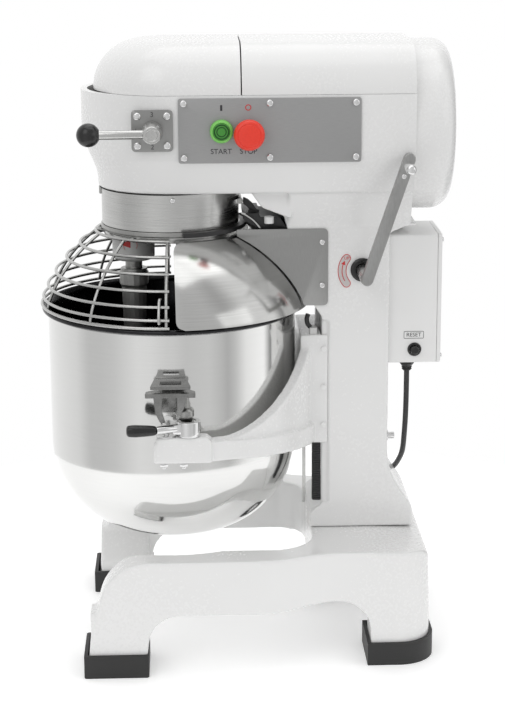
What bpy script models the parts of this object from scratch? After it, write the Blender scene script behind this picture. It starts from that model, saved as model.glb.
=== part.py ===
"""Commercial planetary stand mixer, twenty litre class.

Metres, +Z up, front towards -Y, controls on the +X side.
Every part is drawn with the bowl axis at X = 0, Y = 0, and then parented to one empty
that moves the whole machine so the origin is under the middle of its outline.
"""
import math

import bmesh
import bpy
from mathutils import Matrix, Vector

# Driving dimensions.
ORIGIN_SHIFT_Y = -0.09175         # bowl axis, seen from the middle of the machine
GAP = 0.0003                      # air between parts that touch
CORE_BORE = 0.004                 # hole in a gear that its own shaft fills

BASE_RAIL_OUT = 0.182
BASE_RAIL_IN = 0.140
BASE_TOP = 0.150
BASE_ARCH = 0.088
BASE_FRONT = -0.111
BASE_REAR = 0.325
REAR_LEG_OUT = 0.158
FOOT_HEIGHT = 0.0295
FOOT_FLOOR = 0.006                # thickness of rubber under a leg

COLUMN_HALF = 0.060
COLUMN_WALL = 0.008
COLUMN_BACK = 0.275
RECESS_FACE = 0.190               # face that the cradle slides on
RECESS_LOW = 0.183
RECESS_HIGH = 0.430

HEAD_HALF = 0.110
HEAD_FLOOR = 0.594
HEAD_SPLIT = 0.717                # joint between casting and top covers
HEAD_TOP = 0.777
HEAD_BACK = 0.300
COVER_JOINT_Y = 0.088
CAP_RADIUS = 0.107
CAP_Z = 0.668
CAP_BACK = 0.352

RING_OUT = 0.087
RING_IN = 0.080
RING_LOW = 0.547
RING_HIGH = HEAD_FLOOR - GAP

BOWL_RIM = 0.1685
BOWL_RIM_Z = 0.4404
BOWL_BODY = 0.159
BOWL_BOTTOM = 0.142
BOWL_WALL = 0.0015
BOWL_TRAVEL = 0.065

GUARD_WIRE = 0.0020
GUARD_RADIUS = 0.1665
DOME_RADIUS = 0.177
DOME_HEIGHT = 0.1245
DOME_BASE = 0.443
DOME_POWER = 1.43                 # above 1 makes the dome steeper near its rim

ARM_IN = 0.172
ARM_OUT = 0.196
ARM_LOW = 0.283
ARM_TOP = 0.307
SLIDE_FRONT = 0.1625
SLIDE_LOW = 0.265
SLIDE_TOP = 0.408

LIFT_Y = 0.2404
LIFT_Z = 0.492
CRANK = 0.0435
CRANK_REST = math.radians(48.35)  # above the horizontal, towards the front
HANDLE_LENGTH = 0.157
HANDLE_LEAN = math.radians(18.6)

PLANET_Y = -0.048
PLANET_MODULE = 0.0032
RING_TEETH = 39
PINION_TEETH = 9
BEVEL_Z = 0.655
BEVEL_MODULE = 0.0045
CROWN_TEETH = 20
BEVEL_TEETH = 8
MOTOR_Z = 0.700
SPUR_MODULE = 0.003
TOOTH_TIP = 0.8                   # tooth height outside the pitch circle, in modules
TOOTH_ROOT = 1.15                 # and inside it
SPUR_PAIRS = ((8, 22, 0.066), (11, 19, 0.092), (14, 16, 0.118))
SPUR_WIDTH = 0.009

PANEL_X = HEAD_HALF
GLAND_Y = 0.3031
LEAD_RADIUS = 0.0035
COIL_X = -0.100
COIL_Y = 0.189
COIL_OUT = 0.0432
COIL_IN = 0.0275
COIL_LOW = 0.0010
COIL_HIGH = 0.0235
SELECTOR_Y = -0.0193
SELECTOR_Z = 0.676
LEVER_X = 0.146                   # axis of the selector rod
KNOB_REACH = 0.0751               # selector axis to the middle of the ball
SELECTOR_THROW = 0.0038           # how far a quarter turn moves the shift fork
START_YZ = (0.064, 0.675)
STOP_YZ = (0.097, 0.672)
SIDES = (("right", 1), ("left", -1))

X_AXIS = Matrix.Rotation(math.pi / 2, 4, "Y")
Y_AXIS = Matrix.Rotation(-math.pi / 2, 4, "X")
Z_AXIS = Matrix.Identity(4)


def clear_scene():
    for old in list(bpy.data.objects):
        bpy.data.objects.remove(old, do_unlink=True)


def material(name, colour, roughness, metallic=0.0):
    """Principled material in the part's own colour."""
    made = bpy.data.materials.new(name)
    made.use_nodes = True
    shader = made.node_tree.nodes["Principled BSDF"]
    shader.inputs["Base Color"].default_value = (*colour, 1.0)
    shader.inputs["Roughness"].default_value = roughness
    shader.inputs["Metallic"].default_value = metallic
    made.diffuse_color = (*colour, 1.0)
    return made


class Finish:
    """The finishes a part can have: colour, roughness, metallic."""

    ENAMEL = ((0.82, 0.82, 0.81), 0.28, 0.0)
    PANEL = ((0.42, 0.42, 0.42), 0.38, 1.0)
    STEEL = ((0.62, 0.61, 0.59), 0.25, 1.0)
    POLISHED = ((0.75, 0.74, 0.72), 0.10, 1.0)
    CAST = ((0.25, 0.25, 0.26), 0.55, 1.0)
    GEAR = ((0.45, 0.44, 0.42), 0.35, 1.0)
    RUBBER = ((0.015, 0.015, 0.015), 0.75, 0.0)
    BLACK = ((0.02, 0.02, 0.02), 0.35, 0.0)
    GREEN = ((0.06, 0.35, 0.04), 0.35, 0.0)
    LIGHT_GREEN = ((0.20, 0.62, 0.12), 0.40, 0.0)
    RED = ((0.75, 0.04, 0.02), 0.35, 0.0)
    CABLE = ((0.03, 0.03, 0.03), 0.60, 0.0)


def mesh_object(name, mesh_data):
    made = bpy.data.objects.new(name, mesh_data)
    bpy.context.collection.objects.link(made)
    return made


def from_bmesh(name, mesh):
    bmesh.ops.recalc_face_normals(mesh, faces=mesh.faces)
    data = bpy.data.meshes.new(name)
    mesh.to_mesh(data)
    mesh.free()
    return mesh_object(name, data)


def loft(name, sections):
    """Closed body through rings of points that all have the same count."""
    mesh = bmesh.new()
    rings = [[mesh.verts.new(point) for point in section] for section in sections]
    count = len(rings[0])
    for lower, upper in zip(rings, rings[1:]):
        for i in range(count):
            j = (i + 1) % count
            mesh.faces.new((lower[i], lower[j], upper[j], upper[i]))
    mesh.faces.new(rings[0])
    mesh.faces.new(rings[-1])
    return from_bmesh(name, mesh)


def turned(name, profile, frame=Z_AXIS, steps=28):
    """Solid turned about local Z from a closed loop of (radius, height)."""
    mesh = bmesh.new()
    centre = {}
    rings = []
    for i in range(steps):
        angle = math.tau * i / steps
        ring = []
        for k, (radius, height) in enumerate(profile):
            if radius < 1e-7:
                if k not in centre:
                    centre[k] = mesh.verts.new(frame @ Vector((0, 0, height)))
                ring.append(centre[k])
                continue
            point = Vector((radius * math.cos(angle), radius * math.sin(angle), height))
            ring.append(mesh.verts.new(frame @ point))
        rings.append(ring)
    count = len(profile)
    for i in range(steps):
        here = rings[i]
        after = rings[(i + 1) % steps]
        for k in range(count):
            m = (k + 1) % count
            corners = []
            for corner in (here[k], after[k], after[m], here[m]):
                if corner not in corners:
                    corners.append(corner)
            if len(corners) > 2:
                mesh.faces.new(corners)
    return from_bmesh(name, mesh)


def rod(name, start, end, radius, steps=16):
    """Round bar from one point to another."""
    start = Vector(start)
    run = Vector(end) - start
    frame = Matrix.Translation(start) @ run.to_track_quat("Z", "Y").to_matrix().to_4x4()
    return turned(name, [(0, 0), (radius, 0), (radius, run.length), (0, run.length)], frame, steps)


def tube(name, start, end, outer, inner, steps=24):
    start = Vector(start)
    run = Vector(end) - start
    frame = Matrix.Translation(start) @ run.to_track_quat("Z", "Y").to_matrix().to_4x4()
    length = run.length
    return turned(name, [(inner, 0), (outer, 0), (outer, length), (inner, length)], frame, steps)


def box(name, low, high):
    corners = [(low[0], low[1]), (high[0], low[1]), (high[0], high[1]), (low[0], high[1])]
    return loft(name, [[(x, y, z) for x, y in corners] for z in (low[2], high[2])])


def prism(name, outline, axis, low, high):
    """Outline pushed along an axis; the outline holds the two other coordinates in order."""
    def place(a, b, c):
        if axis == "X":
            return (c, a, b)
        if axis == "Y":
            return (a, c, b)
        return (a, b, c)
    return loft(name, [[place(a, b, c) for a, b in outline] for c in (low, high)])


def arc(cx, cy, radius, start, end, steps):
    """Points on an arc, angles in degrees."""
    points = []
    for i in range(steps + 1):
        angle = math.radians(start + (end - start) * i / steps)
        points.append((cx + radius * math.cos(angle), cy + radius * math.sin(angle)))
    return points


def rounded(low, high, radius, steps=4):
    """Rectangle with round corners, as a closed outline."""
    points = arc(high[0] - radius, high[1] - radius, radius, 0, 90, steps)
    points += arc(low[0] + radius, high[1] - radius, radius, 90, 180, steps)
    points += arc(low[0] + radius, low[1] + radius, radius, 180, 270, steps)
    points += arc(high[0] - radius, low[1] + radius, radius, 270, 360, steps)
    return points


def boolean(target, tool, operation):
    """Join or cut with another body, which stays hidden."""
    modifier = target.modifiers.new(operation.lower(), "BOOLEAN")
    modifier.operation = operation
    modifier.solver = "EXACT"
    modifier.object = tool
    tool.hide_render = True
    tool.display_type = "WIRE"
    tool.parent = target
    return target


def join(target, *tools):
    for tool in tools:
        boolean(target, tool, "UNION")
    return target


def cut(target, *tools):
    for tool in tools:
        boolean(target, tool, "DIFFERENCE")
    return target


def place(target, finish, pivot=(0, 0, 0)):
    """Give the part its finish and put its origin on its joint."""
    pivot = Vector(pivot)
    colour, roughness, metallic = finish
    target.data.materials.clear()
    target.data.materials.append(material(target.name, colour, roughness, metallic))
    if target.type == "MESH":
        target.data.transform(Matrix.Translation(-pivot))
    for child in target.children:
        child.data.transform(Matrix.Translation(-pivot))
    target.location = pivot
    target.parent = ROOT
    return target


def tooth_ring(teeth, module, shrink, phase=0.0):
    """Outline of a spur gear as (radius, angle) pairs."""
    pitch = teeth * module / 2
    root = pitch - TOOTH_ROOT * module
    tip = pitch + TOOTH_TIP * module
    half = math.tau / teeth / 4
    outline = []
    for i in range(teeth):
        centre = math.tau * i / teeth + phase
        outline.append((root, centre - half * 1.55 * shrink))
        outline.append((tip, centre - half * 0.50 * shrink))
        outline.append((tip, centre + half * 0.50 * shrink))
        outline.append((root, centre + half * 1.55 * shrink))
    return outline


def spur_gear(name, teeth, module, frame, thickness, bore, shrink=0.86, phase=0.0):
    """External gear along local Z, with a round hole where a bore is given."""
    outline = tooth_ring(teeth, module, shrink, phase=phase)
    sections = []
    for height in (0.0, thickness):
        sections.append([frame @ Vector((radius * math.cos(angle), radius * math.sin(angle), height))
                         for radius, angle in outline])
    gear = loft(name, sections)
    if bore:
        start = frame @ Vector((0, 0, -0.002))
        end = frame @ Vector((0, 0, thickness + 0.002))
        cut(gear, rod(name + "_bore_form", start, end, bore, 16))
    return gear


# Base ---------------------------------------------------------------------------------

def base_plan():
    """Plan of the base: two rails in front of one block, narrower at the rear."""
    half = [(BASE_RAIL_IN, BASE_FRONT), (BASE_RAIL_OUT, BASE_FRONT), (BASE_RAIL_OUT, 0.105)]
    blend = 5
    for i in range(1, blend + 1):
        share = i / blend
        ease = (1 - math.cos(math.pi * share)) / 2
        half.append((BASE_RAIL_OUT - (BASE_RAIL_OUT - REAR_LEG_OUT) * ease, 0.105 + 0.100 * share))
    half += arc(REAR_LEG_OUT - 0.045, BASE_REAR - 0.045, 0.045, 0, 90, 5)
    inner = [(BASE_RAIL_IN - 0.055, 0.176)]
    inner += arc(BASE_RAIL_IN - 0.055, 0.121, 0.055, 75, 0, 4)
    left = [(-x, y) for x, y in reversed(half)]
    inner_left = [(-x, y) for x, y in inner]
    return half + left + inner_left[::-1] + inner


def base_side():
    """Side outline of the base with its low arch between front and rear legs."""
    leg_front = 0.072
    points = [(BASE_FRONT, FOOT_FLOOR), (BASE_FRONT + 0.004, 0.050)]
    points += arc(-0.034, 0.088, 0.062, 170, 90, 5)
    points += [(BASE_REAR - 0.006, BASE_TOP), (BASE_REAR, 0.042), (BASE_REAR, FOOT_FLOOR)]
    points += [(0.247, FOOT_FLOOR), (0.2465, 0.042)]
    points += arc(0.205, 0.044, 0.0415, 0, 100, 5)
    points += [(0.120, 0.079)]
    points += arc(BASE_FRONT + leg_front + 0.0432, 0.040, 0.043, 90, 178, 4)
    points += [(BASE_FRONT + leg_front, FOOT_FLOOR)]
    return points


def build_base():
    base = prism("base_casting", base_plan(), "Z", FOOT_FLOOR, BASE_TOP)
    side = prism("base_side_form", base_side(), "X", -0.2, 0.2)
    boolean(base, side, "INTERSECT")
    for label, sign in SIDES:
        low = sign * (BASE_RAIL_IN - 0.028)
        top = sign * (BASE_RAIL_IN + 0.004)
        wide = sign * (BASE_RAIL_OUT - 0.004)
        outline = [(low, FOOT_FLOOR), (wide, FOOT_FLOOR), (wide, 0.084), (top, 0.084), (low, 0.045)]
        toe = prism("toe_form_" + label, outline, "Y", BASE_FRONT + 0.006, BASE_FRONT + 0.0715)
        join(base, toe)
        hollow = box("rear_hollow_form_" + label, (min(sign * 0.004, sign * 0.100), 0.215, 0.0),
                     (max(sign * 0.004, sign * 0.100), 0.300, 0.138))
        cut(base, hollow)
    scoop = [(r + 0.002, z - BOWL_TRAVEL - 0.002) for r, z in bowl_profile()]
    scoop = [(0, scoop[0][1])] + scoop[1:] + [(0, scoop[-1][1])]
    cut(base, turned("bowl_clearance_form", scoop, steps=48))
    gap = box("rear_gap_form", (-0.088, 0.1, 0.0), (0.088, 0.4, BASE_ARCH))
    cut(base, gap)
    place(base, Finish.ENAMEL)


def foot_cup(name, outline, wall):
    """Rubber cup round the end of a leg."""
    cup = prism(name, outline, "Z", 0.0, FOOT_HEIGHT)
    xs = [x for x, y in outline]
    ys = [y for x, y in outline]
    middle = ((min(xs) + max(xs)) / 2, (min(ys) + max(ys)) / 2)
    scale = ((max(xs) - min(xs) - 2 * wall) / (max(xs) - min(xs)),
             (max(ys) - min(ys) - 2 * wall) / (max(ys) - min(ys)))
    inside = [(middle[0] + (x - middle[0]) * scale[0], middle[1] + (y - middle[1]) * scale[1])
              for x, y in outline]
    pocket = prism(name + "_pocket_form", inside, "Z", FOOT_FLOOR - GAP, 0.06)
    cut(cup, pocket)
    return place(cup, Finish.RUBBER)


def build_feet():
    for label, sign in SIDES:
        low = min(sign * 0.1074, sign * 0.1866)
        high = max(sign * 0.1074, sign * 0.1866)
        front = rounded((low, BASE_FRONT - 0.0046), (high, BASE_FRONT + 0.0766), 0.0010, 1)
        foot_cup("foot_front_" + label, front, 0.0038)
        rear = [(0.084, 0.242), (REAR_LEG_OUT + 0.0045, 0.242)]
        rear += arc(REAR_LEG_OUT + 0.0045 - 0.047, BASE_REAR + 0.0045 - 0.047, 0.047, 0, 90, 6)
        rear += [(0.084, BASE_REAR + 0.0045)]
        foot_cup("foot_rear_" + label, [(sign * x, y) for x, y in rear], 0.0038)


# Frame --------------------------------------------------------------------------------

def column_side(inset=0.0):
    """Side outline of the column, foot flared to the rear."""
    front_low = 0.175 + inset
    back_low = 0.309 - inset
    back = COLUMN_BACK - inset
    low = BASE_TOP + GAP + inset
    points = [(front_low, low), (back_low, low), (back_low - 0.003, 0.182)]
    points += [(back + 0.016, 0.200), (back + 0.004, 0.225), (back, 0.255), (back, 0.538)]
    points += [(HEAD_BACK + 0.001 - inset, 0.549 + inset), (HEAD_BACK + 0.001 - inset, 0.601 - inset)]
    points += [(0.130 + inset, 0.601 - inset), (0.146 + inset, 0.546)]
    points += [(0.156 + inset, 0.494), (0.1785 + inset, 0.448), (RECESS_FACE + inset, RECESS_HIGH)]
    points += [(RECESS_FACE + inset, RECESS_LOW - inset), (front_low, RECESS_LOW - inset - 0.012)]
    return points


def head_section():
    """Cross-section of the head below the covers."""
    side = HEAD_HALF - 0.0002
    base = 0.088
    low = HEAD_FLOOR + 0.0004
    top = HEAD_SPLIT + 0.003
    return [(side, top), (side, 0.640), (base, low), (-base, low), (-side, 0.640), (-side, top)]


def build_frame():
    over = HEAD_BACK + 0.004
    frame = prism("frame_casting", head_section(), "Y", 0.003, HEAD_BACK + 0.003)
    nose = turned("nose_form", [(0, HEAD_FLOOR), (0.0905, HEAD_FLOOR), (0.0915, 0.613), (0.103, 0.641),
                                (HEAD_HALF, 0.668), (HEAD_HALF, HEAD_SPLIT + 0.004), (0, HEAD_SPLIT + 0.004)],
                  steps=36)
    neck = prism("neck_form", [(-0.0595, 0.547), (0.0595, 0.547), (0.0945, 0.612), (-0.0945, 0.612)],
                 "Y", 0.1465, over)
    brow = prism("brow_form", [(0.114, 0.574), (0.150, 0.560), (0.150, 0.611), (0.088, 0.611)],
                 "X", -0.074, 0.074)
    column = prism("column_form", column_side(), "X", -COLUMN_HALF, COLUMN_HALF)
    join(frame, nose, neck, brow, column)
    top_trim = box("top_trim_form", (-0.2, -0.2, HEAD_SPLIT), (0.2, 0.4, 0.8))
    back_trim = box("back_trim_form", (-0.2, HEAD_BACK, 0.530), (0.2, 0.4, 0.79))
    cut(frame, top_trim, back_trim)
    room = prism("head_room_form", [(0.102, 0.73), (0.102, 0.640), (0.084, 0.603), (-0.084, 0.603),
                                    (-0.102, 0.640), (-0.102, 0.73)], "Y", -0.002, HEAD_BACK - 0.006)
    nose_room = turned("nose_room_form", [(0, 0.6034), (0.082, 0.6034), (0.0845, 0.613), (0.096, 0.641),
                                          (0.1017, 0.668), (0.1017, 0.734), (0, 0.734)], steps=36)
    inside = COLUMN_HALF - COLUMN_WALL
    shaft_room = prism("column_room_form", column_side(COLUMN_WALL), "X", -inside, inside)
    upper_room = box("upper_room_form", (-0.0515, 0.160, 0.562), (0.0515, HEAD_BACK - 0.009, 0.62))
    cut(frame, room, nose_room, shaft_room, upper_room)
    cut(frame, rod("motor_bore_form", (0, HEAD_BACK - 0.012, CAP_Z), (0, HEAD_BACK + 0.008, CAP_Z),
                   0.0955, 32))
    bearing_bore = rod("bearing_bore_form", (0, 0, 0.58), (0, 0, 0.62), 0.0203, 32)
    lug_slot = box("lug_slot_form", (-0.0105, 0.150, 0.290), (0.0105, 0.205, 0.442))
    lift_bore = rod("lift_bore_form", (-0.0588, LIFT_Y, LIFT_Z), (0.07, LIFT_Y, LIFT_Z), 0.0083, 24)
    selector_bore = rod("selector_bore_form", (0.09, SELECTOR_Y, SELECTOR_Z), (0.12, SELECTOR_Y, SELECTOR_Z),
                        0.0103, 20)
    cut(frame, bearing_bore, lug_slot, lift_bore, selector_bore)
    for label, (y, z) in (("start", START_YZ), ("stop", STOP_YZ)):
        cut(frame, rod(label + "_bore_form", (0.09, y, z), (0.12, y, z), 0.0075, 16))
    for label, sign in SIDES:
        groove = box("slide_groove_form_" + label,
                     (min(sign * 0.0555, sign * 0.07), 0.180, RECESS_LOW + 0.001),
                     (max(sign * 0.0555, sign * 0.07), 0.1985, 0.427))
        cut(frame, groove)
    place(frame, Finish.ENAMEL)


def cover_half(y_front, side, top_z):
    """One level of the front cover in plan, from the joint round the nose and back."""
    points = [(side, COVER_JOINT_Y - GAP)]
    for i in range(17):
        angle = math.radians(-180 * i / 16)
        points.append((side * math.cos(angle), y_front * -math.sin(angle)))
    points.append((-side, COVER_JOINT_Y - GAP))
    return [(x, y, top_z) for x, y in points]


def cover_levels(inset):
    """Levels of the front cover from its foot to its flat top."""
    levels = []
    width = HEAD_HALF - 0.001 - inset
    for i in range(5):
        angle = math.radians(90 * i / 4)
        share = 1 - math.cos(angle)
        rise = math.sin(angle)
        side = width - (width - 0.052) * share
        reach = 0.094 - inset - (0.094 - 0.034) * share
        z = HEAD_SPLIT + GAP + (HEAD_TOP - inset - HEAD_SPLIT - GAP) * rise
        levels.append(cover_half(-reach, side, z))
    return levels


def build_front_cover():
    cover = loft("front_top_cover", cover_levels(0.0))
    inner_levels = cover_levels(0.003)
    foot = [(x, y, HEAD_SPLIT - 0.01) for x, y, z in inner_levels[0]]
    room = loft("front_cover_room_form", [foot] + inner_levels)
    cut(cover, room)
    place(cover, Finish.ENAMEL)


def rear_section(inset):
    """Cross-section of the rear top cover: flat top with round shoulders."""
    width = HEAD_HALF - 0.001 - inset
    top = HEAD_TOP - inset
    low = HEAD_SPLIT + GAP
    points = []
    for i in range(7):
        angle = math.radians(90 * i / 6)
        points.append((width - (width - 0.052) * (1 - math.cos(angle)), low + (top - low) * math.sin(angle)))
    return points + [(-x, z) for x, z in reversed(points)]


def build_rear_cover():
    cover = prism("rear_top_cover", rear_section(0.0), "Y", COVER_JOINT_Y + GAP, HEAD_BACK)
    inside = rear_section(0.003)
    inside = [(inside[0][0], HEAD_SPLIT - 0.01)] + inside + [(-inside[0][0], HEAD_SPLIT - 0.01)]
    room = prism("rear_cover_room_form", inside, "Y", COVER_JOINT_Y - 0.01, HEAD_BACK - 0.003)
    bore = rod("rear_cover_bore_form", (0, HEAD_BACK - 0.01, CAP_Z), (0, HEAD_BACK + 0.01, CAP_Z), 0.0955, 32)
    cut(cover, room, bore)
    place(cover, Finish.ENAMEL)


def build_rear_cap():
    """Round end cap over the motor fan."""
    frame = Matrix.Translation((0, HEAD_BACK + GAP, CAP_Z)) @ Y_AXIS
    depth = CAP_BACK - HEAD_BACK - GAP
    corner = 0.024
    outer = [(CAP_RADIUS, 0)]
    outer += arc(CAP_RADIUS - corner, depth - corner, corner, 0, 90, 4)
    outer += [(0, depth), (0, depth - 0.003)]
    outer += [(x, y) for x, y in arc(CAP_RADIUS - corner, depth - corner, corner - 0.003, 90, 0, 3)]
    outer += [(CAP_RADIUS - 0.003, 0)]
    cap = turned("rear_end_cap", outer, frame, 28)
    place(cap, Finish.ENAMEL)


# Controls -----------------------------------------------------------------------------

def build_panel():
    panel = prism("control_panel", rounded((0.012, 0.636), (0.233, 0.714), 0.003, 2), "X",
                  PANEL_X + GAP, PANEL_X + 0.0022)
    for label, (y, z) in (("start", START_YZ), ("stop", STOP_YZ)):
        cut(panel, rod(label + "_panel_form", (0.09, y, z), (0.13, y, z), 0.0075, 16))
    place(panel, Finish.PANEL)


def build_buttons():
    face = PANEL_X + 0.0022 + GAP
    y, z = START_YZ
    bezel = tube("start_bezel", (face, y, z), (face + 0.009, y, z), 0.0140, 0.0106, 20)
    place(bezel, Finish.LIGHT_GREEN)
    start = turned("start_button", [(0, -0.018), (0.006, -0.018), (0.006, 0.0045), (0.0103, 0.0045),
                                    (0.0103, 0.0085), (0.0090, 0.0098), (0, 0.0098)],
                   Matrix.Translation((face, y, z)) @ X_AXIS, 20)
    place(start, Finish.GREEN, (face, y, z))
    y, z = STOP_YZ
    collar = tube("stop_collar", (face, y, z), (face + 0.006, y, z), 0.0125, 0.0094, 20)
    place(collar, Finish.BLACK)
    stop = turned("stop_button", [(0, -0.018), (0.006, -0.018), (0.006, 0.0056), (0.0091, 0.0056),
                                  (0.0091, 0.0122), (0.0185, 0.0145), (0.0190, 0.0205), (0.0160, 0.0245),
                                  (0, 0.0265)], Matrix.Translation((face, y, z)) @ X_AXIS, 20)
    place(stop, Finish.RED, (face, y, z))


def build_selector():
    """Speed plate, lever with its inner crank, and ball knob."""
    y, z = SELECTOR_Y, SELECTOR_Z
    half = 0.025
    plate = prism("shift_plate", rounded((y - half, z - half), (y + half, z + half), 0.004, 3), "X",
                  HEAD_HALF + GAP, HEAD_HALF + 0.004)
    cut(plate, rod("plate_bore_form", (0.1, y, z), (0.13, y, z), 0.0103, 24))
    place(plate, Finish.STEEL)
    lever = turned("selector_lever", [(0, -0.050), (0.010, -0.050), (0.010, 0.0045), (0.0130, 0.0045),
                                      (0.0130, 0.0290), (0.0105, 0.0460), (0, 0.0460)],
                   Matrix.Translation((HEAD_HALF, y, z)) @ X_AXIS, 24)
    reach = rod("lever_rod_form", (LEVER_X, y - 0.004, z), (LEVER_X, y - KNOB_REACH + 0.0075, z), 0.0055, 16)
    throw = box("lever_throw_form", (0.0605, y - 0.007, z - 0.0125), (0.066, y + 0.007, z + 0.004))
    pin = rod("lever_pin_form", (0.053, y, z - SELECTOR_THROW), (0.064, y, z - SELECTOR_THROW), 0.0025, 12)
    join(lever, reach, throw, pin)
    place(lever, Finish.STEEL, (HEAD_HALF, y, z))
    knob = turned("selector_knob", arc(0, 0, 0.0142, -90, 90, 8),
                  Matrix.Translation((LEVER_X, y - KNOB_REACH, z)), 16)
    cut(knob, rod("knob_bore_form", (LEVER_X, y - KNOB_REACH + 0.034, z),
                  (LEVER_X, y - KNOB_REACH + 0.0068, z), 0.0058, 16))
    place(knob, Finish.BLACK, (HEAD_HALF, y, z))


def build_shift_fork():
    """Rod under the selector with the fork that holds the dog sleeve."""
    rail_x, rail_z = 0.050, 0.668
    fork = box("shift_fork", (rail_x - 0.004, -0.030, rail_z - 0.014),
               (rail_x + 0.0085, 0.145, rail_z - 0.006))
    yoke = box("fork_yoke_form", (0.0152, 0.0819, BEVEL_Z - 0.006), (rail_x + 0.002, 0.0851, BEVEL_Z + 0.006))
    ears = []
    for k, step in enumerate((-1, 1)):
        centre = SELECTOR_Y + step * 0.0062
        ears.append(box("fork_ear_form_%d" % k, (rail_x, centre - 0.0018, rail_z - 0.010),
                        (rail_x + 0.0085, centre + 0.0018, rail_z + 0.0115)))
    join(fork, yoke, *ears)
    place(fork, Finish.CAST, (rail_x, 0, rail_z))


# Drive --------------------------------------------------------------------------------

def build_motor():
    housing = tube("motor_housing", (0, 0.168, MOTOR_Z), (0, 0.288, MOTOR_Z), 0.060, 0.041, 24)
    place(housing, Finish.CAST)
    rotor = turned("motor_rotor", [(0, 0.044), (0.0078, 0.044), (0.0078, 0.172), (0.0395, 0.172),
                                   (0.0395, 0.284), (0.0078, 0.284), (0.0078, 0.308), (0, 0.308)],
                   Matrix.Translation((0, 0, MOTOR_Z)) @ Y_AXIS, 16)
    for number, (small, _, y) in enumerate(SPUR_PAIRS, start=1):
        upper = Matrix.Translation((0, y, MOTOR_Z)) @ Y_AXIS
        join(rotor, spur_gear("input_gear_form_%d" % number, small, SPUR_MODULE, upper, SPUR_WIDTH,
                              0.0, phase=math.pi / 2))
    place(rotor, Finish.GEAR, (0, 0.168, MOTOR_Z))
    hub = Matrix.Translation((0, 0.296, MOTOR_Z)) @ Y_AXIS
    fan = tube("cooling_fan", (0, 0.296, MOTOR_Z), (0, 0.306, MOTOR_Z), 0.020, 0.0083, 18)
    blades = 6
    for i in range(blades):
        turn = Matrix.Rotation(math.tau * i / blades, 4, "Z")
        blade = box("fan_blade_form_%d" % i, (0.016, -0.0012, 0.001), (0.054, 0.0012, 0.009))
        blade.data.transform(hub @ turn)
        join(fan, blade)
    place(fan, Finish.BLACK, (0, 0.168, MOTOR_Z))


def build_gearbox():
    """Three driven gears under the cluster on the motor shaft, with their sleeve and bearing wall."""
    for number, (_, large, y) in enumerate(SPUR_PAIRS, start=1):
        lower = Matrix.Translation((0, y, BEVEL_Z)) @ Y_AXIS
        half_tooth = math.pi / large
        place(spur_gear("driven_gear_%d" % number, large, SPUR_MODULE, lower, SPUR_WIDTH, 0.0083,
                        phase=-math.pi / 2 + half_tooth), Finish.GEAR, (0, y, BEVEL_Z))
    sleeve = turned("dog_sleeve", [(0.0083, 0), (0.0170, 0), (0.0170, 0.0018), (0.0145, 0.0018),
                                   (0.0145, 0.0062), (0.0170, 0.0062), (0.0170, 0.0080), (0.0083, 0.0080)],
                    Matrix.Translation((0, 0.0795, BEVEL_Z)) @ Y_AXIS, 16)
    place(sleeve, Finish.GEAR, (0, 0.0795, BEVEL_Z))
    y = 0.054
    wall = prism("gearbox_wall", [(-0.070, 0.6035), (0.070, 0.6035), (0.070, 0.735), (-0.070, 0.735)],
                 "Y", y, y + 0.006)
    for k, z in enumerate((BEVEL_Z, MOTOR_Z)):
        cut(wall, rod("wall_bore_form_%d" % k, (0, y - 0.01, z), (0, y + 0.02, z), 0.0085, 20))
    cut(wall, box("wall_rail_form", (0.0455, y - 0.01, 0.6535), (0.0590, y + 0.02, 0.6625)))
    place(wall, Finish.CAST)


def bevel_gear(name, teeth, mate_teeth, frame, inner_share, bore, shrink, phase=0.0, back=0.004):
    """Straight bevel gear with its apex at the frame's origin, opening along local Z."""
    pitch = teeth * BEVEL_MODULE / 2
    depth = mate_teeth * BEVEL_MODULE / 2
    cone = math.hypot(pitch, depth)
    along = Vector((pitch / cone, depth / cone))
    normal = Vector((depth / cone, -pitch / cone))
    half = math.tau / teeth / 4
    mesh = bmesh.new()
    rings = []
    for share in (inner_share, 1.0):
        ring = []
        for i in range(teeth):
            middle = math.tau * i / teeth + phase
            for offset, tilt in ((-1.5, -1.15), (-0.5, 0.75), (0.5, 0.75), (1.5, -1.15)):
                spot = along * cone * share + normal * tilt * BEVEL_MODULE * share
                angle = middle + offset * half * shrink
                point = Vector((spot[0] * math.cos(angle), spot[0] * math.sin(angle), spot[1]))
                ring.append(mesh.verts.new(frame @ point))
        rings.append(ring)
    count = len(rings[0])
    ends = []
    heights = (depth * inner_share + pitch / cone * 1.2 * BEVEL_MODULE * inner_share,
               depth + pitch / cone * 1.2 * BEVEL_MODULE + back)
    for height in heights:
        ends.append([mesh.verts.new(frame @ Vector((bore * math.cos(math.tau * i / count + phase),
                                                    bore * math.sin(math.tau * i / count + phase), height)))
                     for i in range(count)])
    inner, outer = rings
    low, high = ends
    for i in range(count):
        j = (i + 1) % count
        mesh.faces.new((inner[i], inner[j], outer[j], outer[i]))
        mesh.faces.new((outer[i], outer[j], high[j], high[i]))
        mesh.faces.new((high[i], high[j], low[j], low[i]))
        mesh.faces.new((low[i], low[j], inner[j], inner[i]))
    return from_bmesh(name, mesh)


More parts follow.
